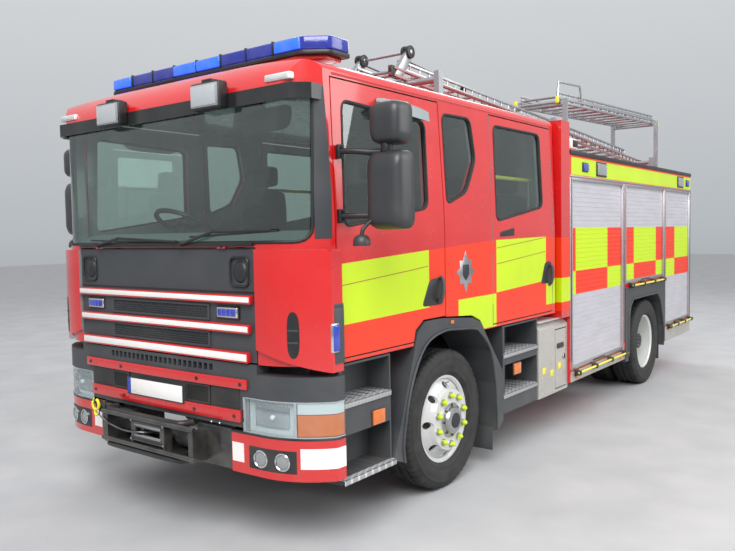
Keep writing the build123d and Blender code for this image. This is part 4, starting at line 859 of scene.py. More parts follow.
    def build(self, body: str = "chassis", side: Side = Side.LEFT, smooth: float = 35.0,
              name: str | None = None) -> bpy.types.Object:
        """Make the object, mirrored for the right side, and let it ride on a body.

        Args:
            body: The CAD body that carries the piece.
            side: RIGHT mirrors the piece across the vehicle.
            smooth: Edges sharper than this many degrees stay sharp.
            name: The object's name, or None for the piece's own.

        Returns:
            The new object.
        """
        copy = self.mesh.copy()
        if side is Side.RIGHT:
            bmesh.ops.scale(copy, vec=(-1, 1, 1), verts=copy.verts)
            bmesh.ops.reverse_faces(copy, faces=copy.faces)
        data = bpy.data.meshes.new(name or self.name)
        copy.to_mesh(data)
        copy.free()
        for material in self.materials:
            data.materials.append(material)
        data.shade_smooth()
        data.set_sharp_from_angle(angle=math.radians(smooth))
        made = bpy.data.objects.new(name or self.name, data)
        bpy.context.scene.collection.objects.link(made)
        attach(made, body)
        LOG.info("%s rides on %s", made.name, body)
        return made

    def both(self, body: str = "chassis", smooth: float = 35.0) -> list[bpy.types.Object]:
        """Build the piece on both sides; {side} in the body's name becomes each side's word."""
        return [self.build(body.format(side=side.word), side, smooth, f"{self.name}_{side.word}")
                for side in Side]


# Shared outlines

NOSE_CENTRE = ((-845, 4), (0, -14), (845, 4))
NOSE_CORNER = ((845, 4), (1110, 70), (1258, 194))
SCREEN = ((-1150, 1727), (1150, 1727), (1160, 2542), (-1160, 2542))
FRONT_WINDOW = ((345, 1803), (362, 2500), (1190, 2470), (1200, 1922))
REAR_WINDOW = ((2130, 1838), (2118, 2542), (2911, 2546), (2943, 1957))
QUARTER_WINDOW = ((1434, 1948), (1404, 2544), (1776, 2552), (1837, 2269), (1700, 2040))
# Chords in a path along the bumper; one round a cab corner has a third as many
PATH_CHORDS = 24


def arc(a: Span, b: Span, c: Span, steps: int) -> list[Span]:
    """Return points on the circle that runs from a through b to c.

    Args:
        a: First point.
        b: A point between.
        c: Last point.
        steps: Number of chords.

    Returns:
        The points, both ends among them.
    """
    (ax, ay), (bx, by), (cx, cy) = a, b, c
    scale = 2 * (ax * (by - cy) + bx * (cy - ay) + cx * (ay - by))
    squares = [px * px + py * py for px, py in (a, b, c)]
    ux = (squares[0] * (by - cy) + squares[1] * (cy - ay) + squares[2] * (ay - by)) / scale
    uy = (squares[0] * (cx - bx) + squares[1] * (ax - cx) + squares[2] * (bx - ax)) / scale
    radius = math.hypot(ax - ux, ay - uy)
    first, middle, last = (math.atan2(py - uy, px - ux) for px, py in (a, b, c))
    sweep = (last - first) % math.tau
    if (middle - first) % math.tau > sweep:
        sweep -= math.tau
    angles = (first + sweep * i / steps for i in range(steps + 1))
    return [(ux + radius * math.cos(a), uy + radius * math.sin(a)) for a in angles]


def look_up(line: Sequence[Span], x: float) -> float:
    """Return the second value at x along a line of points sorted by their first.

    Args:
        line: Points, sorted by their first value.
        x: First value to look for.

    Returns:
        The second value there, or the nearest end's.
    """
    for (x0, y0), (x1, y1) in zip(line, line[1:]):
        if x0 <= x <= x1:
            return y0 + (y1 - y0) * (x - x0) / max(x1 - x0, 1e-6)
    return line[0][1] if x < line[0][0] else line[-1][1]


NOSE_LINE = arc(*NOSE_CENTRE, 24) + arc(*NOSE_CORNER, 16)[1:]
CAB_LINE = arc((-850, 14), (0, 0), (850, 14), 24) + arc((850, 14), (1092, 92), (1215, 275), 16)[1:]
PANEL_LINE = arc((849, -2), (1120, 58), (1258, 170), 24)
BROW_LINE = [(1727, 0), (2562, 55)] + [(z, s) for s, z in arc((55, 2562), (129, 2693), (315, 2757), 12)[1:]]


def nose_s(x: float) -> float:
    """Return the bumper's station at x."""
    return look_up(NOSE_LINE, abs(x))


def cab_s(x: float, z: float) -> float:
    """Return the cab front's station at x and height z."""
    return max(look_up(CAB_LINE, abs(x)), look_up(BROW_LINE, z))


def side_x(z: float) -> float:
    """Return how far out the cab's side is at height z."""
    return 1215.0 - 25.0 * min(max((z - 1760) / 870, 0.0), 1.0)


def corner_path(x0: float, x1: float, z: float, proud: float) -> list[Point]:
    """Return points round the cab's front corner at height z, moved outwards by proud.

    Args:
        x0: Where the path starts.
        x1: Where it ends, or sooner where the side is in the way.
        z: Height.
        proud: Distance outwards from the panel.

    Returns:
        The path's points.
    """
    found = []
    for i in range(PATH_CHORDS // 3 + 1):
        x = x0 + (min(x1, side_x(z) - 1.0) - x0) * i / (PATH_CHORDS // 3)
        slope = (look_up(CAB_LINE, x + 1) - look_up(CAB_LINE, x - 1)) / 2
        length = math.hypot(slope, 1.0)
        found.append((x + proud * slope / length, cab_s(x, z) - proud / length, z))
    return found


def honeycomb(piece: Piece, x: Span, z: Span, pitch: float, station: Callable[[float], float]) -> None:
    """Add a plate with rows of six-sided holes, in a thin frame.

    Args:
        piece: The piece that takes it: its second material, black, is painted shade on the holes' floors.
        x: Span across.
        z: Span of heights.
        pitch: Distance between the holes' middles.
        station: Returns the plate's station at an x.
    """
    part = bmesh.new()
    upright = Matrix.Rotation(math.pi / 2, 4, "X")
    rise = pitch * math.sqrt(3) / 2
    rows = int((z[1] - z[0]) / rise)
    columns = int((x[1] - x[0]) / pitch)
    for row in range(rows):
        for column in range(columns):
            cx = x[0] + pitch * (column + 0.5 + 0.5 * (row % 2))
            place = at(cx, station(cx), z[0] + rise * (row + 0.6))
            turn = Matrix.Translation(place) @ upright @ Matrix.Rotation(math.pi / 6, 4, "Z")
            bmesh.ops.create_circle(part, cap_ends=True, segments=6, radius=pitch * MM / math.sqrt(3),
                                    matrix=turn)
    # Each hole's edge is 0.13 of the pitch wide, and its floor lies 4 mm deep
    holes = part.faces[:]
    bmesh.ops.inset_individual(part, faces=holes, thickness=pitch * MM * 0.13)
    bmesh.ops.inset_individual(part, faces=holes, thickness=0.2 * MM, depth=-4 * MM)
    # The holes' black floors are painted shade in place of the openings
    dark = set(holes)
    for face in part.faces:
        face.material_index = 1 if face in dark else 0
    piece.add(part)
    for low, high in ((z[0] - 7, z[0] + rise * 0.35), (z[1] - rise * 0.35, z[1] + 7)):
        for k in range(4):
            x0, x1 = (x[0] - 7 + (x[1] - x[0] + 14) * (k + j) / 4 for j in (0, 1))
            piece.use(0).prism([(x0, station(x0) - 1.5, low), (x1, station(x1) - 1.5, low),
                                (x1, station(x1) + 6, low), (x0, station(x0) + 6, low)], (0, 0, high - low))
    for px in (x[0], x[1]):
        piece.box((px - 8, px + pitch * 0.55), (station(px) - 1.5, station(px) + 6), (z[0] - 7, z[1] + 7))


def nose_path(x0: float, x1: float, proud: float, tail: bool = False) -> list[Span]:
    """Return plan points along the bumper from x0 to x1, moved outwards by proud.

    Args:
        x0: Where the path starts.
        x1: Where it ends.
        proud: Distance outwards.
        tail: Whether it goes on round the corner and along the side.

    Returns:
        The path's (x, station) points.
    """
    found = []
    for i in range(PATH_CHORDS + 1):
        x = x0 + (x1 - x0) * i / PATH_CHORDS
        slope = (nose_s(x + 2) - nose_s(x - 2)) / 4 if abs(x) < 1254 else (3.0 if x > 0 else -3.0)
        length = math.hypot(slope, 1.0)
        found.append((x + proud * slope / length, nose_s(x) - proud / length))
    if tail:
        found.append((1260 + proud, 205))
        found.append((1262 + proud, 262))
    return found


def nose_band(piece: Piece, x: Span, z: Span, proud: float, depth: float, tail: bool = False,
              bevel: float = 0.0) -> None:
    """Add a band that follows the bumper's plan line.

    Args:
        piece: The piece that takes it.
        x: Span across.
        z: Span of heights.
        proud: Distance outwards of its face.
        depth: Its thickness.
        tail: Whether it goes on round the corner and along the side.
        bevel: Its edges' bevel.
    """
    outer = nose_path(*x, proud, tail=tail)
    inner = nose_path(*x, proud - depth, tail=tail)
    corners = [(px, ps, z[0]) for px, ps in outer + inner[::-1]]
    piece.prism(corners, (0, 0, z[1] - z[0]), bevel)


def rounded(outline: Outline, radius: float, steps: int = 5) -> list[Span]:
    """Return an outline with its corners rounded.

    Args:
        outline: Corners in order.
        radius: Distance from each corner to where its curve starts.
        steps: Number of chords in a curve.

    Returns:
        The new outline's points.
    """
    found: list[Span] = []
    count = len(outline)
    for i in range(count):
        before, here, after = (Vector(outline[(i + k) % count]) for k in (-1, 0, 1))
        back, forth = before - here, after - here
        reach = min(radius, back.length * 0.45, forth.length * 0.45)
        start, end = here + back.normalized() * reach, here + forth.normalized() * reach
        for k in range(steps + 1):
            t = k / steps
            point = start * (1 - t) ** 2 + here * 2 * t * (1 - t) + end * t ** 2
            found.append((point.x, point.y))
    return found


def on_side(outline: Outline, proud: float = 0.0) -> list[Point]:
    """Return (station, height) points as points on the cab's left side."""
    return [(side_x(z) + proud, s, z) for s, z in outline]


# Assemblies


@dataclass
class Wheels:
    """Tyres with cut treads, wheel nuts with pointers, and hub caps."""

    kit: Kit
    front_axle: float = 1500.0
    rear_axle: float = 5750.0
    centre_z: float = 479.0
    front_x: float = 1020.0
    rear_x: Span = (1071.0, 761.0)
    steps: int = 180
    nuts: int = 10
    nut_circle: float = 167.5
    nut_faces: Span = (1175.0, 928.0)
    cut_from: float = 455.0
    lug: tuple[float, float, float] = (63.0, 125.0, 9.0)
    sipe: tuple[float, float, float] = (5.5, 53.0, 4.0)
    front_bolts: int = 8
    rear_bolts: int = 10
    half_profile: tuple[Span, ...] = (
        (467, 0), (467, 5), (479, 6), (479, 52), (468, 53.5), (468, 62), (479, 63.5), (478.4, 98), (475, 110),
        (468, 118), (460, 123), (448, 128), (431, 133), (429, 135.6), (423, 136), (421, 135), (400, 137.4),
        (380, 138), (352, 135), (336, 129), (333, 130), (326, 128.5), (322, 124), (307, 111), (301, 107),
        (301, 96), (287, 95))

    def build(self) -> None:
        """Add everything on the six wheels."""
        for side in Side:
            self.tyres([(self.front_x, self.front_axle)], f"front_{side.word}_tyre",
                       f"front_{side.word}_wheel", side)
            self.tyres([(x, self.rear_axle) for x in self.rear_x], f"rear_{side.word}_tyres",
                       f"rear_{side.word}_wheels", side)
            self.front_hub(f"front_{side.word}_wheel", side)
            self.rear_hub(f"rear_{side.word}_wheels", side)

    def tyres(self, places: Sequence[Span], node: str, body: str, side: Side) -> None:
        """Replace a tyre node with cut treads.

        Args:
            places: (x, station) of each tyre's middle.
            node: The CAD node that the tyres stand for.
            body: The body that they ride on.
            side: The vehicle's side.
        """
        piece = Piece(f"{node}_tread", self.kit.rubber)
        profile = [(r, -w) for r, w in self.half_profile[::-1]] + list(self.half_profile[1:])
        for x, s in places:
            part = bmesh.new()
            points = [part.verts.new((w * MM, r * MM, 0.0)) for r, w in profile + profile[:1]]
            edges = [part.edges.new(pair) for pair in zip(points, points[1:])]
            bmesh.ops.spin(part, geom=points + edges, cent=(0, 0, 0), axis=(1, 0, 0), angle=math.tau,
                           steps=self.steps, use_merge=True)
            bmesh.ops.remove_doubles(part, verts=part.verts, dist=1e-6)
            for vert in part.verts:
                self.cut_tread(vert)
            bmesh.ops.translate(part, verts=part.verts, vec=at(x, s, self.centre_z))
            piece.take(part)
        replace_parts(piece.build(body, side, 50), node)

    def cut_tread(self, vert: bmesh.types.BMVert) -> None:
        """Push a tyre's point in where a shoulder lug or a sipe is cut.

        Args:
            vert: The point, with the tyre's middle at the origin.
        """
        radius = math.hypot(vert.co.y, vert.co.z) / MM
        width = abs(vert.co.x) / MM
        step = round(math.atan2(vert.co.z, vert.co.y) / math.tau * self.steps) % 3
        for turn, (inner, outer, depth) in enumerate((self.lug, self.sipe)):
            if step == turn and inner < width < outer and radius > self.cut_from:
                vert.co.yz = vert.co.yz * (1 - depth / radius)

    def ring_of_nuts(self, piece: Piece, s: float, face: float, colour: int) -> None:
        """Add hexagon nuts with their caps and pointers on a stud circle.

        Args:
            piece: The piece that takes them.
            s: The axle's station.
            face: Distance of the nuts' seats from the middle plane.
            colour: Material number of the caps.
        """
        for i in range(self.nuts):
            angle = math.tau * (i + 0.5) / self.nuts
            dy, dz = math.cos(angle), math.sin(angle)
            py, pz = s + self.nut_circle * dy, self.centre_z + self.nut_circle * dz
            piece.use(0).rod((face, py, pz), (face + 9, py, pz), 24, sides=24)
            piece.use(colour).rod((face + 9, py, pz), (face + 31, py, pz), 19, 17, sides=6, bevel=2)
            piece.rod((face + 31, py, pz), (face + 38, py, pz), 13, 8, sides=16)
            tip = (face + 14, py + 34 * dz, pz - 34 * dy)
            piece.rod((face + 14, py, pz), tip, 11, 3, sides=8)

    def front_hub(self, body: str, side: Side) -> None:
        """Add the front hub's cap, bolts and capped nuts.

        Args:
            body: The body that the hub rides on.
            side: The vehicle's side.
        """
        piece = Piece(f"{body}_hub", self.kit.steel, self.kit.yellow_cap, self.kit.dark_metal)
        self.ring_of_nuts(piece, self.front_axle, self.nut_faces[0], 1)
        hub = ((118, 1181), (118, 1186), (96, 1190), (92, 1206), (86, 1214), (60, 1218), (0, 1219))
        piece.use(0).lathe([(r, x - 1181) for r, x in hub], (1181, self.front_axle, self.centre_z), (1, 0, 0))
        # The dark cap and bolts in the hub's middle are painted shade of its recessed centre
        for i in range(self.front_bolts):
            angle = math.tau * i / self.front_bolts
            py, pz = self.front_axle + 104 * math.cos(angle), self.centre_z + 104 * math.sin(angle)
            piece.use(2).rod((1186, py, pz), (1195, py, pz), 8, sides=6)
        cap = ((52, 0), (52, 5), (40, 7), (0, 7))
        piece.use(2).lathe(cap, (1217, self.front_axle, self.centre_z), (1, 0, 0))
        valve = [(x, self.front_axle, self.centre_z + r) for x, r in ((1135, 248), (1168, 262))]
        piece.use(0).rod(*valve, 5)
        piece.build(body, side)

    def rear_hub(self, body: str, side: Side) -> None:
        """Add the rear hub's flange, bolts and nuts.

        Args:
            body: The body that the hub rides on.
            side: The vehicle's side.
        """
        piece = Piece(f"{body}_hub", self.kit.steel, self.kit.yellow_cap, self.kit.dark_metal)
        self.ring_of_nuts(piece, self.rear_axle, self.nut_faces[1], 1)
        cap = ((84, 0), (84, 4), (76, 9), (0, 11))
        piece.use(2).lathe(cap, (1116, self.rear_axle, self.centre_z), (1, 0, 0))
        for i in range(self.rear_bolts):
            angle = math.tau * i / self.rear_bolts
            py, pz = self.rear_axle + 66 * math.cos(angle), self.centre_z + 66 * math.sin(angle)
            piece.use(0).rod((1120, py, pz), (1133, py, pz), 8, sides=6)
        piece.build(body, side)


@dataclass
class GrilleLid:
    """Bars, meshes, covers and blue lamps on the hinged grille lid."""

    kit: Kit
    body: str = "grille_lid"
    bars: tuple[Point, ...] = ((1390, 1436, 830), (1225, 1273, 815), (1062, 1118, 800))
    mesh_rows: tuple[Span, ...] = ((1291, 1369), (1133, 1211))
    mesh_x: Span = (-470, 470)
    hole_pitch: float = 15.5
    grip_x: float = 730
    grip_z: float = 1565
    lamp_spans: tuple[Span, ...] = ((543, 716), (-752, -579))
    lamp_z: Span = (1303, 1365)

    def build(self) -> None:
        """Add the lid's pieces."""
        self.strips()
        self.meshes()
        self.panel()
        self.lamps()

    def strips(self) -> None:
        """Add the three white bars with red edges."""
        piece = Piece("grille_bars", self.kit.red_trim, self.kit.white)
        for low, high, half in self.bars:
            piece.use(0).box((-half - 2, half + 2), (-19.5, 10), (low - 1, high + 1), 3)
            piece.use(1).box((-half + 5, half - 5), (-22, -18), (low + 9, high - 8), 1.5)
        piece.build(self.body)

    def meshes(self) -> None:
        """Add fine meshes over the openings."""
        # The black gasket rubber on the holes' floors is painted shade
        piece = Piece("grille_meshes", self.kit.trim, self.kit.gasket)
        for low, high in self.mesh_rows:
            honeycomb(piece, self.mesh_x, (low, high), self.hole_pitch, lambda x: cab_s(x, 1300) - 6.0)
        piece.build(self.body, smooth=20)

    def panel(self) -> None:
        """Add the panel's upper and lower seams, and the covers of its two recesses."""
        piece = Piece("grille_covers", self.kit.soft_black, self.kit.trim)
        edge = rounded(((-72, -80), (72, -80), (72, 80), (-72, 80)), 34)
        for x in (-self.grip_x, self.grip_x):
            piece.use(0).tube([(x + px, 3.0, self.grip_z + pz) for px, pz in edge], 6, 8, closed=True)
            piece.ball((x, 20, self.grip_z), (56, 26, 64))
            piece.use(1).box((x - 52, x + 52), (8, 24), (1487, 1503), 4)
        ridge = [(px, cab_s(px, 1600) - 1.0, 1452) for px in range(-840, 841, 40)]
        piece.use(0).tube(ridge, 4, 6)
        top = [(px, cab_s(px, 1600) + 3.0, 1690) for px in range(-835, 836, 40)]
        piece.tube(top, 4, 6)
        piece.build(self.body)

    def lamps(self) -> None:
        """Add the two blue lamps in their bright bezels."""
        piece = Piece("grille_blue_lamps", self.kit.chrome, self.kit.blue_glow, self.kit.soft_black)
        z0, z1 = self.lamp_z
        for low, high in self.lamp_spans:
            face = cab_s(max(abs(low), abs(high)), 1330) - 2
            piece.use(2).box((low - 8, high + 8), (face - 10, face + 12), (z0 - 7, z1 + 7), 6)
            piece.use(0).box((low, high), (face - 15, face), (z0, z1), 8, 3)
            piece.use(1).box((low + 14, high - 14), (face - 19, face - 8), (z0 + 10, z1 - 10), 4)
            for i in range(1, 4):
                px = low + 14 + (high - low - 28) * i / 4
                piece.use(0).box((px - 1.5, px + 1.5), (face - 20, face - 8), (z0 + 10, z1 - 10))
        piece.build(self.body)


@dataclass
class FrontEnd:
    """Bumper bars, plate, lamps and reflectors below the grille lid."""

    kit: Kit
    bars: tuple[Point, ...] = ((910, 965, 780), (720, 787, 725))
    bolt_shares: tuple[float, ...] = (-0.94, -0.48, 0.48, 0.94)
    mesh_spans: tuple[Span, ...] = ((276, 470), (-470, -306))
    mesh_z: Span = (799, 897)
    hole_pitch: float = 15.5
    lamp_x: Span = (737, 1254)
    lamp_z: Span = (666, 868)
    bulb_x: float = 930
    rib_pitch: float = 12.6
    indicator_x: Span = (1092, 1252)
    fog_lamp_x: Span = (862, 1004)
    fog_lamp_z: float = 533
    vent_middle: Span = (1092, 1230)
    vent_half: Span = (31, 126)

    def build(self) -> None:
        """Add the front's pieces."""
        self.bumper_bars()
        self.plate()
        self.meshes()
        self.headlamps()
        self.fog_lamps()
        self.reflectors()
        self.corners()

    def bumper_bars(self) -> None:
        """Add red faces and bolts on the bumper's two bars."""
        piece = Piece("bumper_bars", self.kit.red_trim, self.kit.soft_black)
        for low, high, half in self.bars:
            nose_band(piece.use(0), (-half - 2, half + 2), (low - 1, high + 1), 16, 12, bevel=3)
            for share in self.bolt_shares:
                x = half * share
                face = nose_s(x) - 16
                piece.use(1).rod((x, face + 1, (low + high) / 2), (x, face - 6, (low + high) / 2), 12, 9, 20)
        piece.build()

    def plate(self) -> None:
        """Add the blank plate with its blue end."""
        piece = Piece("front_plate", self.kit.white, self.kit.blue_paint, self.kit.soft_black)
        piece.use(2).box((-296, 262), (-37, -33), (771, 884), 2)
        piece.use(0).box((-252, 254), (-41, -36), (778, 877), 1.5)
        piece.use(1).box((-288, -252), (-41, -36), (778, 877), 1.5)
        piece.build()

    def meshes(self) -> None:
        """Add the meshes beside the plate, and the dark infill beside the winch."""
        # The black gasket rubber on the holes' floors is painted shade
        piece = Piece("bumper_meshes", self.kit.soft_black, self.kit.gasket)
        for span in self.mesh_spans:
            honeycomb(piece, span, self.mesh_z, self.hole_pitch, lambda x: nose_s(x) - 7.0)
        piece.use(0)
        for low, high in ((486, 716), (-716, -486)):
            nose_band(piece, (low, high), (794, 904), 4, 8, bevel=2)
        piece.build(smooth=20)
        piece = Piece("bumper_infill", self.kit.black, self.kit.steel)
        for low, high in ((352, 641), (-641, -508)):
            nose_band(piece.use(0), (low, high), (438, 672), 3, 26, bevel=6)
            nose_band(piece, (low, high), (640, 690), -30, 60, bevel=4)
        for x in (470, 540):
            piece.use(1).ball((x, nose_s(x) + 6, 690), (11, 11, 9), 12)
        piece.build()

    def headlamps(self) -> None:
        """Replace the lamp blocks with housings, reflectors and clear covers."""
        piece = Piece("headlamp", self.kit.clear_cover, self.kit.lamp_housing, self.kit.chrome,
                      self.kit.amber_lens, self.kit.glow_bulb, self.kit.lamp_ribs, self.kit.trim,
                      self.kit.reflector)
        (left, right), (low, high) = self.lamp_x, self.lamp_z
        nose_band(piece.use(0), (left, right), (low, high), 0, 5, tail=True)
        # The pale plate and ribs behind the covers are painted reflection of a chrome reflector
        nose_band(piece.use(7), (left, right - 4), (low, high), -40, 20, tail=True)
        for i in range(25):
            px = 760 + self.rib_pitch * i
            nose_band(piece, (px - 2, px + 2), (low + 12, high - 12), -34, 8)
        nose_band(piece.use(2), (800, 1040), (low + 40, high - 40), -30, 12, bevel=5)
        nose_band(piece, (left, right), (low, low + 5), -4, 90, tail=True)
        nose_band(piece, (left, right), (high - 5, high), -4, 90, tail=True)
        piece.box((left - 2, left + 4), (0, 110), (low, high))
        piece.use(4).ball((self.bulb_x, nose_s(self.bulb_x) + 26, low + 100), (15, 13, 15), 20)
        nose_band(piece.use(3), self.indicator_x, (low + 12, low + 126), -8, 26, tail=True)
        nose_band(piece.use(5), self.indicator_x, (low + 132, high - 12), -8, 26, tail=True)
        for px in (left + 4, self.indicator_x[0] - 16):
            nose_band(piece.use(2), (px, px + 12), (low + 2, high - 2), -2, 60)
        for band in ((low, low + 9), (high - 9, high)):
            nose_band(piece, (left + 4, right - 2), band, -2, 24, tail=True)
        nose_band(piece.use(6), (left - 1, right), (low - 4, low + 2), 1, 12, tail=True)
        nose_band(piece, (left - 1, right), (high - 2, high + 4), 1, 12, tail=True)
        for side in Side:
            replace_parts(piece.build("chassis", side, 35, f"headlamp_{side.word}"), "headlamps")

    def fog_lamps(self) -> None:
        """Add the fog lamps in the corner bumpers."""
        piece = Piece("fog_lamps", self.kit.soft_black, self.kit.chrome, self.kit.clear_lens)
        nose_band(piece.use(0), (774, 1086), (470, 598), 1.5, 12, bevel=4)
        rim = ((30, 0), (47, 0), (50, 12), (50, 26), (44, 30), (40, 26))
        for x, tilt in zip(self.fog_lamp_x, (0.1, 0.22)):
            centre = (x, nose_s(x) + 20, self.fog_lamp_z)
            piece.use(1).lathe(rim, centre, (tilt, -1, 0), 36)
            piece.use(2).lathe(((0, 30), (24, 28), (41, 22), (41, 4)), centre, (tilt, -1, 0), 36)
        piece.both()

    def reflectors(self) -> None:
        """Add the white film patches on the red corner bumpers."""
        piece = Piece("corner_films", self.kit.white)
        nose_band(piece, (645, 735), (492, 600), 1.2, 4)
        nose_band(piece, (1104, 1256), (500, 612), 1.2, 4, tail=True)
        piece.both()

    def corners(self) -> None:
        """Add the vent ribs, side strips and side lamps at the cab's corners."""
        piece = Piece("corner_details", self.kit.soft_black, self.kit.blue_glow, self.kit.trim, self.kit.chrome)
        (middle, height), (half, tall) = self.vent_middle, self.vent_half
        rows = []
        for i in range(15):
            share = math.sin(math.pi * (i / 14 - 0.5)) * 0.998
            wide = half * math.sqrt(1 - share ** 4)
            edge = [middle + wide * (k / 3 - 1) for k in range(7)]
            z = height + tall * share
            rows.append([(x, look_up(PANEL_LINE, x) - 2, z) for x in edge]
                        + [(x, look_up(PANEL_LINE, x) + 16, z) for x in reversed(edge)])
        piece.use(0).loft(rows)
        for z in (1184, 1250):
            ends = [(x, look_up(PANEL_LINE, x) - 5, z) for x in (middle - 26, middle, middle + 26)]
            piece.use(2).prism(ends + [(x, s + 8, z) for x, s, z in reversed(ends)], (0, 0, 10), 1)
        nose_band(piece.use(2), (1226, 1257), (1070, 1372), 4, 12, tail=True, bevel=3)
        nose_band(piece, (1226, 1257), (1372, 1392), 2, 10, tail=True, bevel=2)
        piece.use(3).box((1240, 1268), (164, 226), (1128, 1292), 12, 4)
        piece.use(1).box((1250, 1277), (170, 220), (1138, 1282), 11, 4)
        nose_band(piece.use(0), (640, 1250), (655, 665), 1, 30, tail=True)
        piece.both()


@dataclass
class CabOutside:
    """Seals, handles, lamps, wiper blades and the badge on the cab."""

    kit: Kit
    windows: tuple[tuple[str, Outline, str], ...] = (
        ("front_window_seal", FRONT_WINDOW, "front_door_{side}"),
        ("rear_window_seal", REAR_WINDOW, "rear_door_{side}"),
        ("quarter_window_seal", QUARTER_WINDOW, "chassis"))
    dishes: tuple[tuple[str, Outline, str, float], ...] = (
        ("front_handle", ((1106, 1292), (1200, 1462), (1352, 1470), (1362, 1290)), "front_door_{side}", 1330),
        ("rear_handle", ((2893, 1322), (2974, 1498), (3100, 1504), (3108, 1320)), "rear_door_{side}", 3078))
    work_lamps: Span = (-418, 518)
    marker_x: float = 1010
    wipers: tuple[tuple[Span, Span], ...] = (((-700, 1752), (226, 1734)), ((330, 1764), (1004, 1788)))
    badge: Span = (1660, 1486)
    pressed_lines: tuple[tuple[str, Outline, str], ...] = (
        ("front_door_line", ((296, 1481), (1000, 1533), (1180, 1549)), "front_door_{side}"),
        ("rear_door_low_line", ((2124, 1521), (2980, 1588)), "rear_door_{side}"),
        ("rear_door_high_line", ((2124, 1640), (2980, 1704)), "rear_door_{side}"))
    guard_heights: tuple[float, ...] = (1742, 1752, 2000, 2250, 2500, 2556)
    hood_ribs: tuple[tuple[float, float, float, float], ...] = (
        (676, 30, 2540, 2520), (690, 92, 2552, 2486), (760, 118, 2552, 2462),
        (960, 112, 2548, 2452), (1120, 84, 2540, 2452), (1150, 30, 2530, 2470))

    def build(self) -> None:
        """Add the cab's outside pieces."""
        self.seals()
        self.handles()
        self.front_lamps()
        self.wiper_blades()
        self.badges()
        self.trim_lines()

    def seals(self) -> None:
        """Add the rubber around each window."""
        for name, outline, body in self.windows:
            piece = Piece(name, self.kit.gasket)
            ring = rounded(outline, 60)
            piece.tube(on_side(ring, -3.0), 9, 8, closed=True)
            piece.tube(on_side(ring, -14.0), 11, 8, closed=True)
            piece.both(body)
        piece = Piece("windscreen_seal", self.kit.gasket)
        ring = []
        corners = rounded(SCREEN, 80)
        for (x0, z0), (x1, z1) in zip(corners, corners[1:] + corners[:1]):
            steps = max(int(math.hypot(x1 - x0, z1 - z0) / 60), 1)
            for k in range(steps):
                x, z = x0 + (x1 - x0) * k / steps, z0 + (z1 - z0) * k / steps
                ring.append((x, cab_s(x, z) + 1, z))
        piece.tube(ring, 10, 8, closed=True)
        piece.build()

    def handles(self) -> None:
        """Add the black door handles in their dishes, and the rear door's vent."""
        for name, outline, body, grip in self.dishes:
            piece = Piece(name, self.kit.soft_black, self.kit.trim)
            plate = [(1212.0, s, z) for s, z in rounded(outline, 40)]
            piece.use(0).prism(plate, (6, 0, 0), 2)
            arch = [(1217, grip - 30, 1304), (1240, grip - 26, 1330), (1247, grip - 16, 1390),
                    (1240, grip - 6, 1450), (1217, grip, 1470)]
            piece.use(1).tube(smooth_line(arch, 4), 13, 10)
            piece.both(body)
        piece = Piece("rear_door_vent", self.kit.soft_black)
        vent = rounded(((2178, 1722), (2180, 1758), (2410, 1788), (2410, 1728)), 12)
        piece.prism([(1210.0, s, z) for s, z in vent], (8, 0, 0), 2)
        piece.both("rear_door_{side}")

    def front_lamps(self) -> None:
        """Add the lamps over the screen and on the arches, the scuttle and the cabin mirror."""
        piece = Piece("work_lamps", self.kit.soft_black, self.kit.clear_lens, self.kit.chrome)
        for x in self.work_lamps:
            piece.use(0).box((x - 122, x + 122), (-28, 46), (2478, 2632), 16, 3)
            piece.use(2).box((x - 112, x + 112), (-34, -20), (2490, 2620), 8)
            piece.use(1).box((x - 104, x + 104), (-40, -28), (2498, 2612), 8)
            piece.use(0).box((x - 40, x + 40), (-10, 70), (2626, 2650), 4)
        piece.build()
        piece = Piece("scuttle", self.kit.soft_black)
        nose = [(x, look_up(CAB_LINE, x)) for x in range(-840, 841, 60)]
        edge = [(x, s - 17, 1707) for x, s in nose] + [(x, s + 12, 1707) for x, s in reversed(nose)]
        piece.prism(edge, (0, 0, 24), 2)
        piece.build()
        piece = Piece("cabin_mirror", self.kit.mirror_black, self.kit.mirror)
        face = rounded(((602, 2336), (960, 2352), (983, 2487), (640, 2470)), 60, 6)
        piece.use(0).prism([(x, 168 + (x - 600) * 0.05, z) for x, z in face], (0, 18, 0), 6, 3)
        piece.rod((790, 178, 2470), (760, 120, 2552), 9, sides=16)
        piece.build()
        piece = Piece("marker_lamps", self.kit.clear_lens, self.kit.white)
        for x in (self.marker_x, -self.marker_x):
            piece.use(1).box((x - 92, x + 92), (50, 92), (2584, 2622), 8)
            piece.use(0).box((x - 84, x + 84), (44, 62), (2589, 2617), 8)
        piece.build()
        piece = Piece("arch_lamps", self.kit.amber_lens)
        piece.box((1219, 1230), (1440, 1476), (1148, 1172), 4)
        piece.both()

    def wiper_blades(self) -> None:
        """Add the wipers' rubber blades."""
        piece = Piece("wiper_blades", self.kit.soft_black)
        for start, end in self.wipers:
            path = []
            for k in range(13):
                x = start[0] + (end[0] - start[0]) * k / 12
                z = start[1] + (end[1] - start[1]) * k / 12
                path.append((x, cab_s(x, z) - 7, z))
            piece.tube(path, 6, 6)
        piece.build()

    def badges(self) -> None:
        """Add the plain eight-point stars on the cab's sides."""
        piece = Piece("side_badges", self.kit.steel, self.kit.dark_metal)
        s, z = self.badge
        points = []
        for i in range(16):
            angle = math.tau * i / 16
            reach = 84 if i % 2 else (148 if i % 8 == 0 else 126 if i % 4 == 0 else 116)
            points.append((1213.5, s + reach * math.sin(angle), z + reach * math.cos(angle)))
        piece.use(0).prism(points, (4, 0, 0), 1)
        shield = rounded(((-42, 52), (42, 52), (42, -20), (0, -62), (-42, -20)), 16)
        piece.use(1).prism([(1217, s + ds, z + dz) for ds, dz in shield], (2.5, 0, 0), 0.8)
        piece.both()

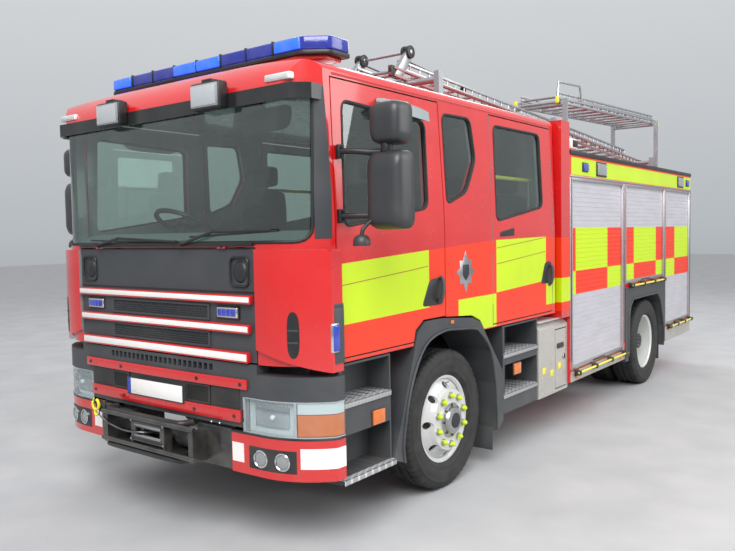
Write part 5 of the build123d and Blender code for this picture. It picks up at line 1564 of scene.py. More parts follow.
    def trim_lines(self) -> None:
        """Add the doors' pressed lines, the pillar guards, the window hoods and the rain rails."""
        for name, line, body in self.pressed_lines:
            piece = Piece(name, self.kit.red_line)
            path = [(1214.2, s, z) for s, z in line]
            piece.tube(path, 2.6, 6)
            piece.both(body)
        piece = Piece("pillar_guards", self.kit.trim, self.kit.soft_black)
        rows = []
        for z in self.guard_heights:
            proud = 2.0 if z in (self.guard_heights[0], self.guard_heights[-1]) else 6.0
            rows.append(corner_path(1158, 1205, z, proud) + corner_path(1158, 1205, z, -8)[::-1])
        piece.use(0).loft(rows)
        piece.both()
        piece = Piece("window_hood", self.kit.smoke)
        rows = []
        for s, out, top, low in self.hood_ribs:
            rows.append([(1198, s, top), (1198 + out * 0.55, s, top - 8),
                         (1198 + out * 0.9, s, (top * 2 + low) / 3), (1198 + out, s, low),
                         (1198 + out * 0.82, s, low + 2), (1198, s, (top + low) / 2)])
        piece.loft(rows)
        piece.both("front_door_{side}")
        piece = Piece("rain_rails", self.kit.red_trim)
        piece.tube([(side_x(2630) - 4, s, 2634) for s in range(290, 3150, 110)], 9, 8)
        piece.both()


def smooth_line(points: Sequence[Point], steps: int) -> list[Point]:
    """Return points along a Catmull-Rom curve through the given ones.

    Args:
        points: Points that the curve goes through.
        steps: Number of chords between two.

    Returns:
        The curve's points.
    """
    line = [Vector(p) for p in points]
    line = [2 * line[0] - line[1]] + line + [2 * line[-1] - line[-2]]
    found: list[Point] = []
    for a, b, c, d in zip(line, line[1:], line[2:], line[3:]):
        for k in range(steps):
            t = k / steps
            p = 0.5 * (2 * b + (c - a) * t + (2 * a - 5 * b + 4 * c - d) * t ** 2
                       + (3 * b - a - 3 * c + d) * t ** 3)
            found.append(tuple(p))
    found.append(tuple(line[-2]))
    return found


@dataclass
class Winch:
    """The winch's rope, hook, motor housing and fairlead."""

    kit: Kit
    rope_r: float = 5.0
    strands: int = 7
    strand_r: float = 1.7
    core_r: float = 3.2
    wind_r: float = 3.4
    samples: int = 150
    lay_length: float = 55.0
    drum: Span = (40, 590)
    route: tuple[Point, ...] = (
        (-20, -6.9, 560), (-24, -75, 566), (-66, -130, 572), (-150, -131, 564), (-246, -131, 565),
        (-346, -131, 580), (-426, -131, 599), (-478, -130, 628))
    hook_centre: Point = (-512, -130, 690)

    def build(self) -> None:
        self.housing()

    def rope(self) -> None:
        curve = bpy.data.curves.new("winch_rope_line", "CURVE")
        curve.dimensions = "3D"
        line = curve.splines.new("NURBS")
        line.points.add(len(self.route) - 1)
        for point, place in zip(line.points, self.route):
            point.co = (*at(*place), 1.0)
        line.order_u = 3
        line.use_endpoint_u = True
        curve.resolution_u = 12
        path_holder = bpy.data.objects.new("winch_rope_path", curve)
        sampled = bpy.data.meshes.new_from_object(path_holder)
        path = [vertex.co.copy() for vertex in sampled.vertices]
        bpy.data.objects.remove(path_holder)
        piece = self.twisted(path)
        hook = self.hook()
        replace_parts(piece, "winch_rope")

    def twisted(self, path: Sequence[Vector]) -> bpy.types.Object:
        """Return the rope's strands, wound about its path.

        Args:
            path: Points along the middle of the rope, in metres.

        Returns:
            The rope as one mesh.
        """
        piece = Piece("winch_rope_strands", self.kit.rope)
        lengths = [0.0]
        for a, b in zip(path, path[1:]):
            lengths.append(lengths[-1] + (b - a).length)
        for k in range(self.strands):
            strand = []
            for i in range(self.samples + 1):
                reach = lengths[-1] * i / self.samples
                j = min(max(bisect.bisect_right(lengths, reach) - 1, 0), len(path) - 2)
                t = (reach - lengths[j]) / max(lengths[j + 1] - lengths[j], 1e-9)
                spot = path[j].lerp(path[j + 1], t)
                along = (path[j + 1] - path[j]).normalized()
                across = along.cross(Vector((0, 0, 1))).normalized()
                up = across.cross(along)
                turn = math.tau * (reach / (self.lay_length * MM) + k / self.strands)
                spot = spot + (across * math.cos(turn) + up * math.sin(turn)) * self.wind_r * MM
                strand.append(back(spot))
            piece.tube(strand, self.strand_r, 6)
        piece.tube([back(spot) for spot in path], self.core_r, 8)
        return piece.build("chassis", smooth=50)

    def hook(self) -> bpy.types.Object:
        """Replace the hook with a forged one that has its eye, sleeve and latch.

        Returns:
            The hook as one object.
        """
        piece = Piece("yellow_hook", self.kit.yellow, self.kit.steel)
        x, s, z = self.hook_centre
        ring = [(x + 34 * math.cos(a), s, z + 34 * math.sin(a)) for a in
                (math.radians(d) for d in range(-200, 71, 15))]
        piece.use(0).tube(ring, 9.6, 14)
        piece.ball(ring[0], (10, 9.8, 10), 14)
        piece.rod(ring[0], (x - 18, s, z + 38), 6, 4)
        eye = [(x + 6 + 17 * math.cos(a), s + math.sin(a), z - 50 + 19 * math.sin(a)) for a in
               (math.tau * i / 20 for i in range(20))]
        piece.tube(eye, 8.5, 12, closed=True)
        piece.use(1).rod((x + 14, s, z - 24), (x + 34, s, z - 60), 8.4, 7, 20, 1.5)
        made = piece.build("chassis", smooth=50)
        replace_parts(made, "winch_hook")
        return made

    def housing(self) -> None:
        """Add the pale motor and gearbox covers, tie bars and roller fairlead."""
        piece = Piece("winch_covers", self.kit.winch_grey, self.kit.soft_black, self.kit.steel)
        low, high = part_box("winch")
        x0, x1 = low[0] * 1000, high[0] * 1000
        piece.use(0)
        for a, b in ((x0 + 30, x0 + 190), (x1 - 190, x1 - 30)):
            piece.rod((a, *self.drum), (b, *self.drum), 58, sides=48, bevel=8)
            for i in range(5):
                px = a + (b - a) * (i + 0.5) / 5
                piece.rod((px - 3, *self.drum), (px + 3, *self.drum), 61, sides=48)
        piece.use(1)
        for z, half in ((668, 20), (446, 18)):
            bar = ((-438, -20), (-424, -84), (-370, -104), (0, -106), (240, -104), (300, -84), (322, -20))
            piece.tube(smooth_line([(x, s, z) for x, s in bar], 5), half, 18)
        for z in (528, 636):
            piece.rod((-160, -113, z), (150, -113, z), 9, sides=20, bevel=1)
        piece.use(2)
        for z in (548, 612):
            piece.rod((-118, -112, z), (140, -112, z), 11, sides=24, bevel=2)
        for px in (-128, 150):
            piece.rod((px, -108, 545), (px, -108, 615), 10, sides=24, bevel=2)
        for px, z in ((-146, 522), (-146, 638), (168, 522), (168, 638)):
            piece.rod((px, -119, z), (px, -126, z), 8, sides=6)
        piece.build()


@dataclass
class RoofLights:
    """The light bar with its base, lens segments and reflectors."""

    kit: Kit
    outline: Outline = ((-912, 357), (912, 357), (1054, 462), (1054, 640), (912, 640), (-912, 640),
                        (-1054, 640), (-1054, 462))
    middle: float = 500
    base: Span = (2792, 2816)
    lens: Span = (2818, 2896)
    divisions: int = 8
    beacons: tuple[float, ...] = (-1000, -800, -570, -342, -114, 114, 342, 570, 800, 1000)
    bright: tuple[Span, ...] = ((-900, -700), (-226, -6), (6, 226), (700, 900))

    def build(self) -> None:
        """Replace the light bar's block with its real parts."""
        piece = Piece("light_bar_parts", self.kit.blue_lens, self.kit.soft_black, self.kit.chrome,
                      self.kit.red_trim, self.kit.bar_floor, self.kit.bright_blue)
        edge = rounded(self.outline, 34)

        def ring(across: float, along: float, z: float) -> list[Point]:
            """Return the outline drawn in by two shares, at height z."""
            return [(x * across, self.middle + (s - self.middle) * along, z) for x, s in edge]

        piece.use(1).prism(ring(1, 1, self.base[0]), (0, 0, self.base[1] - self.base[0]), 4)
        piece.use(4).prism(ring(0.985, 0.95, self.base[1]), (0, 0, 3))
        piece.use(0).prism(ring(0.994, 0.98, self.lens[0]), (0, 0, self.lens[1] - self.lens[0]), 12, 4)
        piece.use(1)
        for i in range(1, self.divisions):
            x = self.outline[1][0] * (2 * i / self.divisions - 1)
            piece.box((x - 5, x + 5), (354, 643), (self.base[1], self.lens[1] + 3), 2)
        piece.use(3).prism(ring(0.95, 0.9, self.base[0] - 20), (0, 0, 21), 5)
        piece.use(2)
        for x in self.beacons:
            s = 430 if abs(x) < 900 else 490
            piece.lathe(((2, 0), (26, 10), (34, 30), (35, 31)), (x, s + 40, 2856), (0, -1, 0), 24)
        piece.use(5)
        for span in self.bright:
            piece.box(span, (350, 372), (self.base[1] + 6, self.lens[1] - 8), 6, 3)
        for x in (-720, 640):
            piece.use(1).box((x - 4, x + 84), (452, 578), (2762, 2790), 6)
        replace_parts(piece.build(smooth=40), "light_bar")


@dataclass
class Mirrors:
    """Rounded mirror heads with glass, arms and the kerb mirror."""

    kit: Kit
    heads: tuple[tuple[Span, Span, float], ...] = (
        ((1360, 1598), (1784, 2206), 66), ((1385, 1590), (2238, 2462), 60))
    depth: Span = (330, 470)
    arms: tuple[Span, ...] = ((2211, 2200), (1862, 1862))

    def build(self) -> None:
        """Replace both mirrors."""
        piece = Piece("mirror_heads", self.kit.mirror_black, self.kit.mirror, self.kit.soft_black)
        for (x0, x1), (z0, z1), corner in self.heads:
            edge = rounded(((x0, z0), (x1, z0), (x1, z1), (x0, z1)), corner, 8)
            cx, cz = (x0 + x1) / 2, (z0 + z1) / 2
            rows = []
            for s, grow in ((self.depth[1] - 6, 0.97), (self.depth[1], 0.99), (self.depth[1] - 2, 1.0),
                            (self.depth[1] - 40, 1.0), (self.depth[0] + 60, 0.985), (self.depth[0] + 26, 0.93),
                            (self.depth[0] + 8, 0.8), (self.depth[0], 0.55), (self.depth[0] - 0.5, 0.2)):
                rows.append([(cx + (x - cx) * grow, s, cz + (z - cz) * grow) for x, z in edge])
            piece.use(0).loft(rows)
            glass = [(cx + (x - cx) * 0.9, self.depth[1] - 5, cz + (z - cz) * 0.94) for x, z in edge]
            piece.use(1).prism(glass, (0, 3, 0))
        piece.use(2).rod((1470, 398, 2196), (1470, 398, 2250), 34, bevel=4)
        for z, tip in self.arms:
            arm = [(1212, 302, z), (1290, 326, z), (1380, 366, tip), (1440, 392, tip)]
            piece.tube(smooth_line(arm, 5), 17, 14)
            piece.box((1207, 1237), (284, 332), (z - 38, z + 38), 8, 3)
            for dz in (-24, 24):
                piece.rod((1237, 308, z + dz), (1241, 308, z + dz), 7, sides=6)
        kerb = ((46, 0), (48, 10), (45, 34), (34, 52), (14, 61), (0, 62))
        piece.use(0).lathe(kerb, (1375, 290, 1700), (0, 0, 1), 32)
        stalk = [(1375, 290, 1756), (1380, 300, 1790), (1392, 330, 1820), (1402, 352, 1838)]
        piece.use(2).tube(smooth_line(stalk, 4), 11, 12)
        for side in Side:
            made = piece.build(f"front_door_{side.word}", side, 40, f"mirror_parts_{side.word}")
            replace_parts(made, f"mirror_{side.word}")


@dataclass
class Steps:
    """Tread plates, edges and marker lamps of the cab steps."""

    kit: Kit
    treads: tuple[tuple[Span, Span, float], ...] = (
        ((264, 756), (1002, 1250), 404), ((272, 750), (1002, 1222), 822),
        ((2208, 2814), (902, 1222), 515), ((2208, 2814), (902, 1222), 825))
    markers: Span = (566, 2384)
    strips: int = 7

    def build(self) -> None:
        """Add the treads on both sides."""
        piece = Piece("step_treads", self.kit.tread, self.kit.aluminium, self.kit.amber_lens,
                      self.kit.soft_black)
        for s, x, z in self.treads:
            piece.use(0).box(x, s, (z, z + 6), 1.5)
            piece.box((x[1] - 4, x[1]), s, (z - 26, z + 6), 1.5)
            for i in range(self.strips):
                middle = s[0] + (s[1] - s[0]) * (i + 0.5) / self.strips
                piece.use(3).box((x[0] + 40, x[1] - 40), (middle - 3, middle + 3), (z + 5, z + 8), 1)
        for s in self.markers:
            piece.use(2).box((1213, 1226), (s, s + 115), (648, 732), 5)
            piece.use(3).box((1211, 1217), (s - 10, s + 125), (642, 738), 4)
        piece.both()


@dataclass
class BodyTrim:
    """Frames, gutters, lamps, rails and locker details on the body."""

    kit: Kit
    bays: tuple[Point, ...] = ((3475, 4828, 503), (4912, 6275, 1182), (6330, 7408, 587))
    band: float = 2226.0
    posts: tuple[float, ...] = (3456, 4870, 6303, 7432)
    walkways: tuple[Span, ...] = ((3560, 4840), (4860, 6120), (6140, 7400))
    roof: float = 2440.0
    roof_boxes: Span = (3520, 3720)
    blue_lamps: Span = (3790, 7290)
    scene_lamps: Span = (4200, 6960)
    markers: tuple[Span, ...] = ((3600, 440), (4780, 440), (6500, 545), (7300, 545))
    side_rails: tuple[Point, ...] = ((3510, 4880, 477), (5000, 6230, 1164), (6410, 7450, 573))
    rear_shutter: tuple[float, float, float] = (-600.0, 600.0, 1032.0)
    rear_rail_x: float = 720

    def build(self) -> None:
        """Add the body's pieces."""
        self.frames()
        self.lamps()
        self.rails()
        self.locker()
        self.arches()
        self.rear()

    def frames(self) -> None:
        """Add the shutters' channels and lift bars, the gutter, the posts, the walkway and roof boxes."""
        piece = Piece("shutter_frames", self.kit.aluminium, self.kit.soft_black, self.kit.yellow)
        for start, end, low in self.bays:
            for s in (start, end):
                inner = 22 if s == start else -22
                piece.use(0).box((1228, 1247), sorted((s, s + inner)), (low, self.band), 2)
            piece.use(0).box((1228, 1248), (start, end), (self.band - 26, self.band), 2)
            piece.use(0).box((1226, 1240), (start + 24, end - 24), (low + 4, low + 44), 5)
            middle = (start + end) / 2
            piece.use(1).tube([(1236, middle - 150, low + 24), (1242, middle - 140, low + 24),
                               (1243, middle + 140, low + 24), (1236, middle + 150, low + 24)], 7, 10)
        piece.use(0).box((1242, 1253), (3446, 7450), (2230, 2246), 3)
        piece.use(1).box((1236, 1256), (3446, 7450), (2422, 2462), 6, 3)
        for s in self.posts:
            piece.use(0).box((1243, 1249), (s - 16, s + 16), (590, self.band), 2)
            piece.use(1).box((1247, 1251), (s - 7, s + 7), (590, self.band), 1)
        piece.both()
        piece = Piece("roof_walkway", self.kit.tread)
        for span in self.walkways:
            piece.box((-1180, 160), span, (self.roof, self.roof + 4), 1.5)
        piece.build()
        piece = Piece("roof_boxes", self.kit.white, self.kit.soft_black)
        for s in self.roof_boxes:
            piece.use(0).box((1010, 1150), (s, s + 150), (2500, 2600), 14, 3)
            piece.use(1).box((1148, 1154), (s + 16, s + 134), (2520, 2584), 3)
        piece.build()

    def lamps(self) -> None:
        """Add the blue and white lamps in the roof band, and side markers."""
        piece = Piece("band_lamps", self.kit.soft_black, self.kit.blue_glow, self.kit.clear_lens,
                      self.kit.amber_lens)
        for s in self.blue_lamps:
            piece.use(0).box((1243, 1252), (s - 70, s + 70), (2286, 2372), 6)
            piece.use(1).box((1246, 1264), (s - 58, s + 58), (2296, 2362), 8, 3)
        for s in self.scene_lamps:
            piece.use(0).box((1243, 1256), (s - 130, s + 130), (2262, 2400), 8, 3)
            piece.use(2).box((1250, 1264), (s - 116, s + 116), (2276, 2386), 8, 3)
        for s, z in self.markers:
            piece.use(3).box((1244, 1253), (s - 42, s + 42), (z - 14, z + 14), 4)
        piece.both()

    def rails(self) -> None:
        """Add black brackets and end caps on the yellow rails."""
        piece = Piece("rail_brackets", self.kit.soft_black)
        for start, end, z in self.side_rails:
            for i in range(4):
                s = start + 55 + i * (end - start - 110) / 3
                piece.box((1245.5, 1262), (s - 34, s + 34), (z - 30, z + 30), 6, 3)
                piece.box((1256, 1296), (s - 22, s + 22), (z - 22, z + 22), 8, 3)
            for s in (start, end):
                piece.rod((1279, s - 8, z), (1279, s + 8, z), 14, sides=20, bevel=3)
        piece.both()

    def locker(self) -> None:
        """Add the side locker's top plate, labels and lock."""
        piece = Piece("side_locker_trim", self.kit.silver)
        low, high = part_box("side_locker")
        top = high[2] * 1000
        piece.use(0).box((low[0] * 1000 + 6, high[0] * 1000 + 3), (2828, 3422), (top, top + 4), 1)
        piece.build()
        piece = Piece("side_locker_door_trim", self.kit.yellow, self.kit.chrome, self.kit.soft_black)
        piece.use(1).rod((1223, 3340, 660), (1230, 3340, 660), 26, sides=32, bevel=2)
        piece.use(2).box((1229, 1234), (3332, 3348), (640, 680), 2)
        for s, z in ((2900, 560), (3060, 520), (3220, 560)):
            piece.use(0).box((1222.6, 1224), (s, s + 70), (z, z + 56), 0.5)
        piece.use(2).box((1222.6, 1232), (3200, 3330), (742, 786), 5)
        piece.build("side_locker_door")

    def arches(self) -> None:
        """Add the lips of the rear and the front arches."""
        piece = Piece("arch_lips", self.kit.trim)
        lip = [(4990, 420), (5006, 850), (5040, 950), (5140, 1016), (5570, 1020), (6000, 1016), (6110, 930),
               (6150, 850), (6266, 600), (6268, 420)]
        piece.tube([(1252, s, z) for s, z in lip], 12, 10)
        piece.both()
        piece = Piece("front_arch_lips", self.kit.trim)
        lip = [(879, 348), (871, 491), (958, 800), (1120, 1038), (1341, 1109), (1560, 1100), (1740, 1083),
               (1830, 1050), (1990, 900), (2072, 640), (2099, 276)]
        piece.tube(smooth_line([(1226, s, z) for s, z in lip], 4), 8, 8)
        piece.both()

    def rear(self) -> None:
        """Add the lamps, the shutter's frame, the handles and the blank plate on the rear."""
        piece = Piece("rear_lamps", self.kit.soft_black, self.kit.red_lens, self.kit.amber_lens,
                      self.kit.clear_lens, self.kit.blue_glow)
        piece.use(0).box((1004, 1206), (7484, 7490), (594, 766), 4)
        for i, lens in enumerate((1, 2, 3)):
            x = 1042 + i * 63
            piece.use(lens).lathe([(0, 20), (14, 18), (27, 10), (28, 0)], (x, 7484, 680), (0, 1, 0), 32)
        piece.use(4).box((1060, 1180), (7450, 7468), (2290, 2380), 8, 3)
        piece.both()
        piece = Piece("rear_trim", self.kit.aluminium, self.kit.soft_black, self.kit.steel)
        (x0, x1, z0), z1 = self.rear_shutter, self.band
        for x in (x0, x1):
            piece.use(0).box((x - 14, x + 14), (7448, 7458), (z0, z1), 2)
        piece.box((x0 - 14, x1 + 14), (7448, 7459), (z1 - 12, z1 + 16), 2)
        piece.box((x0 + 24, x1 - 24), (7446, 7460), (z0 + 6, z0 + 48), 4)
        piece.use(1).tube(smooth_line([(-150, 7456, z0 + 28), (-140, 7488, z0 + 28), (140, 7488, z0 + 28),
                                       (150, 7456, z0 + 28)], 3), 8, 12)
        for x in (-self.rear_rail_x, self.rear_rail_x):
            rail = smooth_line([(x, 7448, 1150), (x, 7500, 1165), (x, 7500, 1835), (x, 7448, 1850)], 4)
            piece.use(2).tube(rail, 15, 16)
            for z in (1150, 1850):
                piece.use(1).rod((x, 7450, z), (x, 7462, z), 32, sides=28, bevel=3)
        piece.build()
        piece = Piece("rear_plate", self.kit.yellow, self.kit.soft_black)
        piece.use(1).box((-265, 265), (7517, 7522), (452, 536), 2)
        piece.use(0).box((-258, 258), (7520, 7525), (458, 530), 1)
        piece.build()


@dataclass
class Ladders:
    """The two stacked ladders: rails, studs, rungs, pulleys, lines and head fittings."""

    kit: Kit
    pitch: float = 280.0
    main_start: Point = (550.0, 1740.0, 2940.0)
    main_fall: float = 0.054
    main_length: float = 5908.0
    short_fall: float = -0.036
    short_length: float = 3372.0
    stud_pitch: float = 140.0

    def build(self) -> None:
        """Add both ladders."""
        self.main()
        self.short()

    @staticmethod
    def lay(start: Point, fall: float, u: float, w: float, h: float) -> Point:
        """Return the place at u along, w across and h above a ladder that starts at start.

        Args:
            start: The ladder's corner.
            fall: Its slope, positive where the tail is lower.
            u: Distance along.
            w: Distance across, towards the vehicle's right.
            h: Distance square to it.

        Returns:
            The place in x, station and z.
        """
        turn = math.atan(fall)
        return (start[0] - w, start[1] + u * math.cos(turn) + h * math.sin(turn),
                start[2] - u * math.sin(turn) + h * math.cos(turn))

    def section(self, piece: Piece, start: Point, fall: float, reach: Span, across: Span, up: Span,
                finish: tuple[int, int, int]) -> None:
        """Add one ladder section: two rails a side, joined by studs, and its rungs.

        Args:
            piece: The piece that takes it.
            start: The ladder's corner.
            fall: Its slope.
            reach: Span along the ladder.
            across: Span across it.
            up: Span of heights, from the bottom rail's underside to the top rail's top.
            finish: Material numbers of the bottom rails, of the top rails and studs, and of the rungs.
        """
        near, far = (self.lay(start, fall, u, 0, 0) for u in reach)
        along = tuple(b - a for a, b in zip(near, far))
        for w0, w1 in ((across[0], across[0] + 26), (across[1] - 26, across[1])):
            for h0, h1, index in ((up[0], up[0] + 24, finish[0]), (up[1] - 20, up[1], finish[1])):
                section = ((w0, h0), (w1, h0), (w1, h1), (w0, h1))
                piece.use(index).prism([self.lay(start, fall, reach[0], w, h) for w, h in section], along, 4)
            middle = (w0 + w1) / 2
            for i in range(int((reach[1] - reach[0]) / self.stud_pitch) + 1):
                u = reach[0] + 20 + i * self.stud_pitch
                piece.use(finish[1]).rod(self.lay(start, fall, u, middle, up[0] + 16),
                                         self.lay(start, fall, u, middle, up[1] - 12), 8, sides=10)
        for i in range(int((reach[1] - reach[0] - 60) / self.pitch) + 1):
            u = reach[0] + 60 + i * self.pitch
            piece.use(finish[2]).rod(self.lay(start, fall, u, across[0] + 12, up[0] + 14),
                                     self.lay(start, fall, u, across[1] - 12, up[0] + 14), 14, sides=16)

    def main(self) -> None:
        """Add the main ladder's two sections, head wheels, pulleys and hauling lines."""
        piece = Piece("main_ladder_sections", self.kit.maroon, self.kit.aluminium, self.kit.soft_black,
                      self.kit.rope, self.kit.steel)
        start, fall = self.main_start, self.main_fall
        self.section(piece, start, fall, (0, self.main_length), (0, 500), (0, 78), (0, 0, 1))
        self.section(piece, start, fall, (160, self.main_length - 560), (36, 464), (82, 160), (1, 1, 1))

        def spot(u: float, w: float, h: float) -> Point:
            """Return a place on this ladder."""
            return self.lay(start, fall, u, w, h)

        for w in (4, 456):
            piece.use(1).prism([spot(60, w, 20), spot(150, w, 0), spot(300, w, 214), spot(262, w, 248),
                                spot(216, w, 232)], (-40, 0, 0), 3)
            for side in (-4, 44):
                for index, half, radius, sides, bevel in ((2, 12, 50, 40, 5), (4, 15, 17, 20, 2)):
                    ends = (spot(250, w + side + d, 230) for d in (-half, half))
                    piece.use(index).rod(*ends, radius, sides=sides, bevel=bevel)
        piece.use(4).rod(spot(250, -8, 230), spot(250, 508, 230), 11, sides=16)
        for u in (24, self.main_length - 10):
            for w in (13, 487):
                piece.use(2).box(*[sorted((a - b, a + b)) for a, b in zip(spot(u, w, 38), (17, 22, 42))], 5)
        for u, h in ((1180, 122), (self.main_length - 620, 122)):
            for w in (70, 430):
                piece.use(2).rod(spot(u, w - 12, h), spot(u, w + 12, h), 36, sides=28, bevel=4)
        for w in (66, 74, 426, 434):
            line = ((250, 186), (1180, 152), (self.main_length - 620, 156))
            piece.use(3).tube([spot(u, w, h) for u, h in line], 5, 8)
        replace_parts(piece.build("main_ladder", smooth=40), "main_ladder")

    def short(self) -> None:
        """Add the second ladder's two sections, its hoop and its yellow tips."""
        low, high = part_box("second_ladder")
        x1, x0 = high[0] * 1000, low[0] * 1000
        start, fall = (x1 - 12, 4260.0, 3030.0), self.short_fall
        wide = x1 - x0 - 24
        piece = Piece("second_ladder_sections", self.kit.aluminium, self.kit.yellow, self.kit.soft_black)
        self.section(piece, start, fall, (0, self.short_length), (0, wide), (0, 60), (0, 0, 0))
        self.section(piece, start, fall, (90, self.short_length - 160), (30, wide - 30), (64, 122), (0, 0, 0))
        for u in (14, self.short_length - 14):
            for w in (13, wide - 13):
                piece.use(1).box(*[sorted((a - b, a + b)) for a, b in zip(self.lay(start, fall, u, w, 30),
                                                                          (15, 16, 32))], 4)
        hoop = [self.lay(start, fall, u, 10, h) for u, h in ((20, 60), (40, 208), (600, 222), (660, 60))]
        piece.use(0).tube(smooth_line(hoop, 1), 11, 14)
        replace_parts(piece.build(smooth=40), "second_ladder")


@dataclass
class Interior:
    """Padded seats on their frames, and the crew's hand rails."""

    kit: Kit
    front_seats: Span = (-555, 555)
    crew_seats: tuple[float, ...] = (-810, -270, 270, 810)
    rail_posts: Span = (2200, 2930)
    seat_half: float = 228

    def build(self) -> None:
        """Replace the seats' blocks with padded seats, and add the rails."""
        shells = Piece("seat_frames", self.kit.soft_black)
        for x in self.front_seats:
            shells.box((x - 215, x + 215), (1010, 1490), (1447, 1500), 8)
            self.pads(x, 980, 1470, 1505, 2330, 1.0)
        shells.box((-1080, 1080), (2590, 3100), (1107, 1440), 10)
        for x in self.crew_seats:
            self.pads(x, 2568, 3010, 1445, 2270, 1.05)
        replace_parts(shells.build(), "seats")
        self.rail()

    def rail(self) -> None:
        """Add the yellow hand rail and its posts behind the crew windows."""
        piece = Piece("crew_rails", self.kit.yellow, self.kit.steel)
        piece.use(0).rod((1090, 2170, 2180), (1090, 2960, 2180), 17, sides=20, bevel=3)
        for s in self.rail_posts:
            piece.use(1).rod((1090, s, 1440), (1090, s, 2195), 12, sides=16)
        piece.both()

    def pads(self, x: float, front: float, back: float, low: float, top: float, wide: float) -> None:
        """Add one seat's cushion, back and head rest.

        Args:
            x: The seat's middle.
            front: Station of the cushion's front edge.
            back: Station of the back rest's face.
            low: Height of the cushion's underside.
            top: Height of the head rest's top.
            wide: Share of the usual width.
        """
        half = self.seat_half * wide
        tag = f"{'left' if x > 0 else 'right'}_{abs(int(x))}_{int(front)}"
        for name, span, spans, height in (
                ("cushion", (x - half, x + half), (front + 6, back - 20), (low + 4, low + 128)),
                ("back", (x - half + 6, x + half - 6), (back - 52, back + 76), (low + 110, top - 190)),
                ("head", (x - 125, x + 125), (back - 10, back + 74), (top - 175, top - 8))):
            pad = Piece(f"seat_{name}_{tag}", self.kit.cloth)
            pad.pillow(span, spans, height)
            made = pad.build(smooth=80)


ASSEMBLIES: tuple[type, ...] = (
    Wheels, GrilleLid, FrontEnd, CabOutside, Winch, RoofLights, Mirrors, Steps, BodyTrim, Ladders, Interior)


# Stage


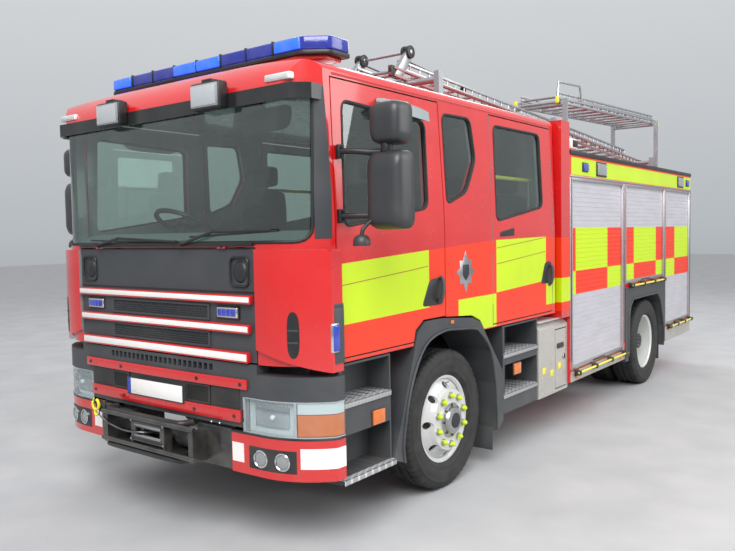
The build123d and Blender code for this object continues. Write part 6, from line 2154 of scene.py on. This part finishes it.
@dataclass(frozen=True)
class Stage:
    """Floor, light and camera, matched to the photograph's view."""

    lens: float = 36.23
    place: Point = (3793.4, -2814.6, 1767.3)
    yaw: float = 37.52
    pitch: float = -3.28
    roll: float = -1.05
    floor_half: float = 45.0

    def build(self) -> None:
        """Add the floor and the lights."""
        self.floor()
        self.light()

    def floor(self) -> None:
        """Add a plain pale floor."""
        # Trowelled concrete is matt, with stains half a metre across
        graph = Graph("trowelled_concrete")
        stains = graph.clouds(500, 8.0, 0.3, 0.7)
        tone = graph.node("Mix", {0: stains, 6: linear("a9aaac"), 7: linear("b6b6b7")}, 2, data_type="RGBA")
        relief = graph.grain(11.1, 4.0, 0.15, 1.0)
        graph.finish({"Base Color": tone, "Roughness": 0.75, "Normal": relief})
        plane = bmesh.new()
        bmesh.ops.create_grid(plane, x_segments=1, y_segments=1, size=self.floor_half)
        data = bpy.data.meshes.new("floor")
        plane.to_mesh(data)
        plane.free()
        data.materials.append(graph.material)
        floor = bpy.data.objects.new("floor", data)
        bpy.context.scene.collection.objects.link(floor)

    def light(self) -> None:
        """Add an even sky with a soft key and a low fill."""
        world = bpy.data.worlds.new("studio")
        bpy.context.scene.world = world
        sky = Graph("studio", world)
        up = sky.node("SeparateXYZ", (sky.node("TexCoord", output="Generated"),), 2)
        shade = sky.node("ValToRGB", (sky.node("MapRange", (up, -1.0)),))
        stops = shade.node.color_ramp.elements
        stops.new(0.5)
        for stop, (position, code) in zip(stops, ((0.42, "9fa3a6"), (0.5, "c3c8cc"), (0.75, "f4f6f9"))):
            stop.position = position
            stop.color = linear(code)
        sky.node("OutputWorld", (sky.node("Background", (shade, 0.85)),))
        for name, where, power, size in (("key", (5.5, -9.5, 9.0), 1500.0, 7.0),
                                         ("fill", (9.5, 2.5, 6.0), 650.0, 8.0),
                                         ("rim", (-6.0, 8.0, 8.0), 500.0, 7.0)):
            lamp = bpy.data.lights.new(name, "AREA")
            lamp.energy = power
            lamp.size = size
            holder = bpy.data.objects.new(name, lamp)
            holder.location = where
            holder.rotation_euler = (Vector((0, -0.5, 1.2)) - Vector(where)).to_track_quat("-Z", "Y").to_euler()
            bpy.context.scene.collection.objects.link(holder)

    def camera(self) -> None:
        """Add the camera at the photograph's place and angle."""
        yaw, pitch, roll = (math.radians(v) for v in (self.yaw, self.pitch, self.roll))
        ahead = Vector((-math.sin(yaw) * math.cos(pitch), math.cos(yaw) * math.cos(pitch), math.sin(pitch)))
        right = ahead.cross(Vector((0, 0, 1))).normalized()
        up = right.cross(ahead)
        turned = right * math.cos(roll) + up * math.sin(roll)
        above = -right * math.sin(roll) + up * math.cos(roll)
        data = bpy.data.cameras.new("photo_view")
        data.lens = self.lens
        data.clip_end = 200.0
        holder = bpy.data.objects.new("photo_view", data)
        matrix = Matrix((turned, above, -ahead)).transposed().to_4x4()
        matrix.translation = at(*self.place)
        holder.matrix_world = matrix
        bpy.context.scene.collection.objects.link(holder)
        bpy.context.scene.camera = holder


def finish_nodes(nodes: dict[str, bpy.types.Object], kit: Kit) -> None:
    """Give each CAD node that stays in view its finish.

    Args:
        nodes: The frame's objects by node name.
        kit: The vehicle's materials.
    """
    finishes = (
        (kit.red, "cab_shell corner_panels bumper_corners front_door_left front_door_right rear_door_left "
                  "rear_door_right"),
        (kit.black, "chassis_frame front_axle rear_axle steering_knuckle_left steering_knuckle_right winch "
                    "tow_jaw fuel_tank"),
        (kit.glass, "cab_glass front_door_glass_left front_door_glass_right rear_door_glass_left "
                    "rear_door_glass_right"),
        (kit.trim, "front_bumper wheel_arches mirror_left mirror_right cab_steps grille_panel"),
        (kit.rubber, "front_left_tyre front_right_tyre rear_left_tyres rear_right_tyres"),
        (kit.silver, "front_left_rim front_right_rim rear_left_rims rear_right_rims"),
        (kit.yellow, "grab_rails winch_hook"), (kit.soft_black, "steering_wheel wipers"),
        (kit.aluminium, "second_ladder roof_gantry"), (kit.locker_paint, "side_locker side_locker_door"),
        (kit.body_red, "body_shell"), (kit.dark_metal, "track_rod"), (kit.engine, "engine_block"),
        (kit.dash, "dashboard"), (kit.visor, "sun_visor"), (kit.skirt, "rear_bumper"), (kit.cloth, "seats"),
        (kit.shutter, "roller_shutters"), (kit.maroon, "main_ladder"), (kit.clear_lens, "headlamps"),
        (kit.red_lens, "tail_lamps"), (kit.blue_lens, "light_bar"), (kit.steel, "winch_rope"),
    )
    for material, names in finishes:
        for name in names.split():
            node = nodes[name]
            if not node.material_slots:
                node.data.materials.append(material)
            for slot in node.material_slots:
                slot.material = material


def main() -> None:
    logging.basicConfig(level=logging.INFO, format="%(name)s %(message)s")
    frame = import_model()
    kit = Kit()
    stage = Stage()
    stage.camera()
    Winch(kit).rope()
    finish_nodes(frame["nodes"], kit)
    for assembly in ASSEMBLIES:
        LOG.info("building %s", assembly.__name__)
        assembly(kit).build()
    stage.build()
    bpy.context.scene.view_settings.view_transform = "Standard"


if __name__ == "__main__":
    main()
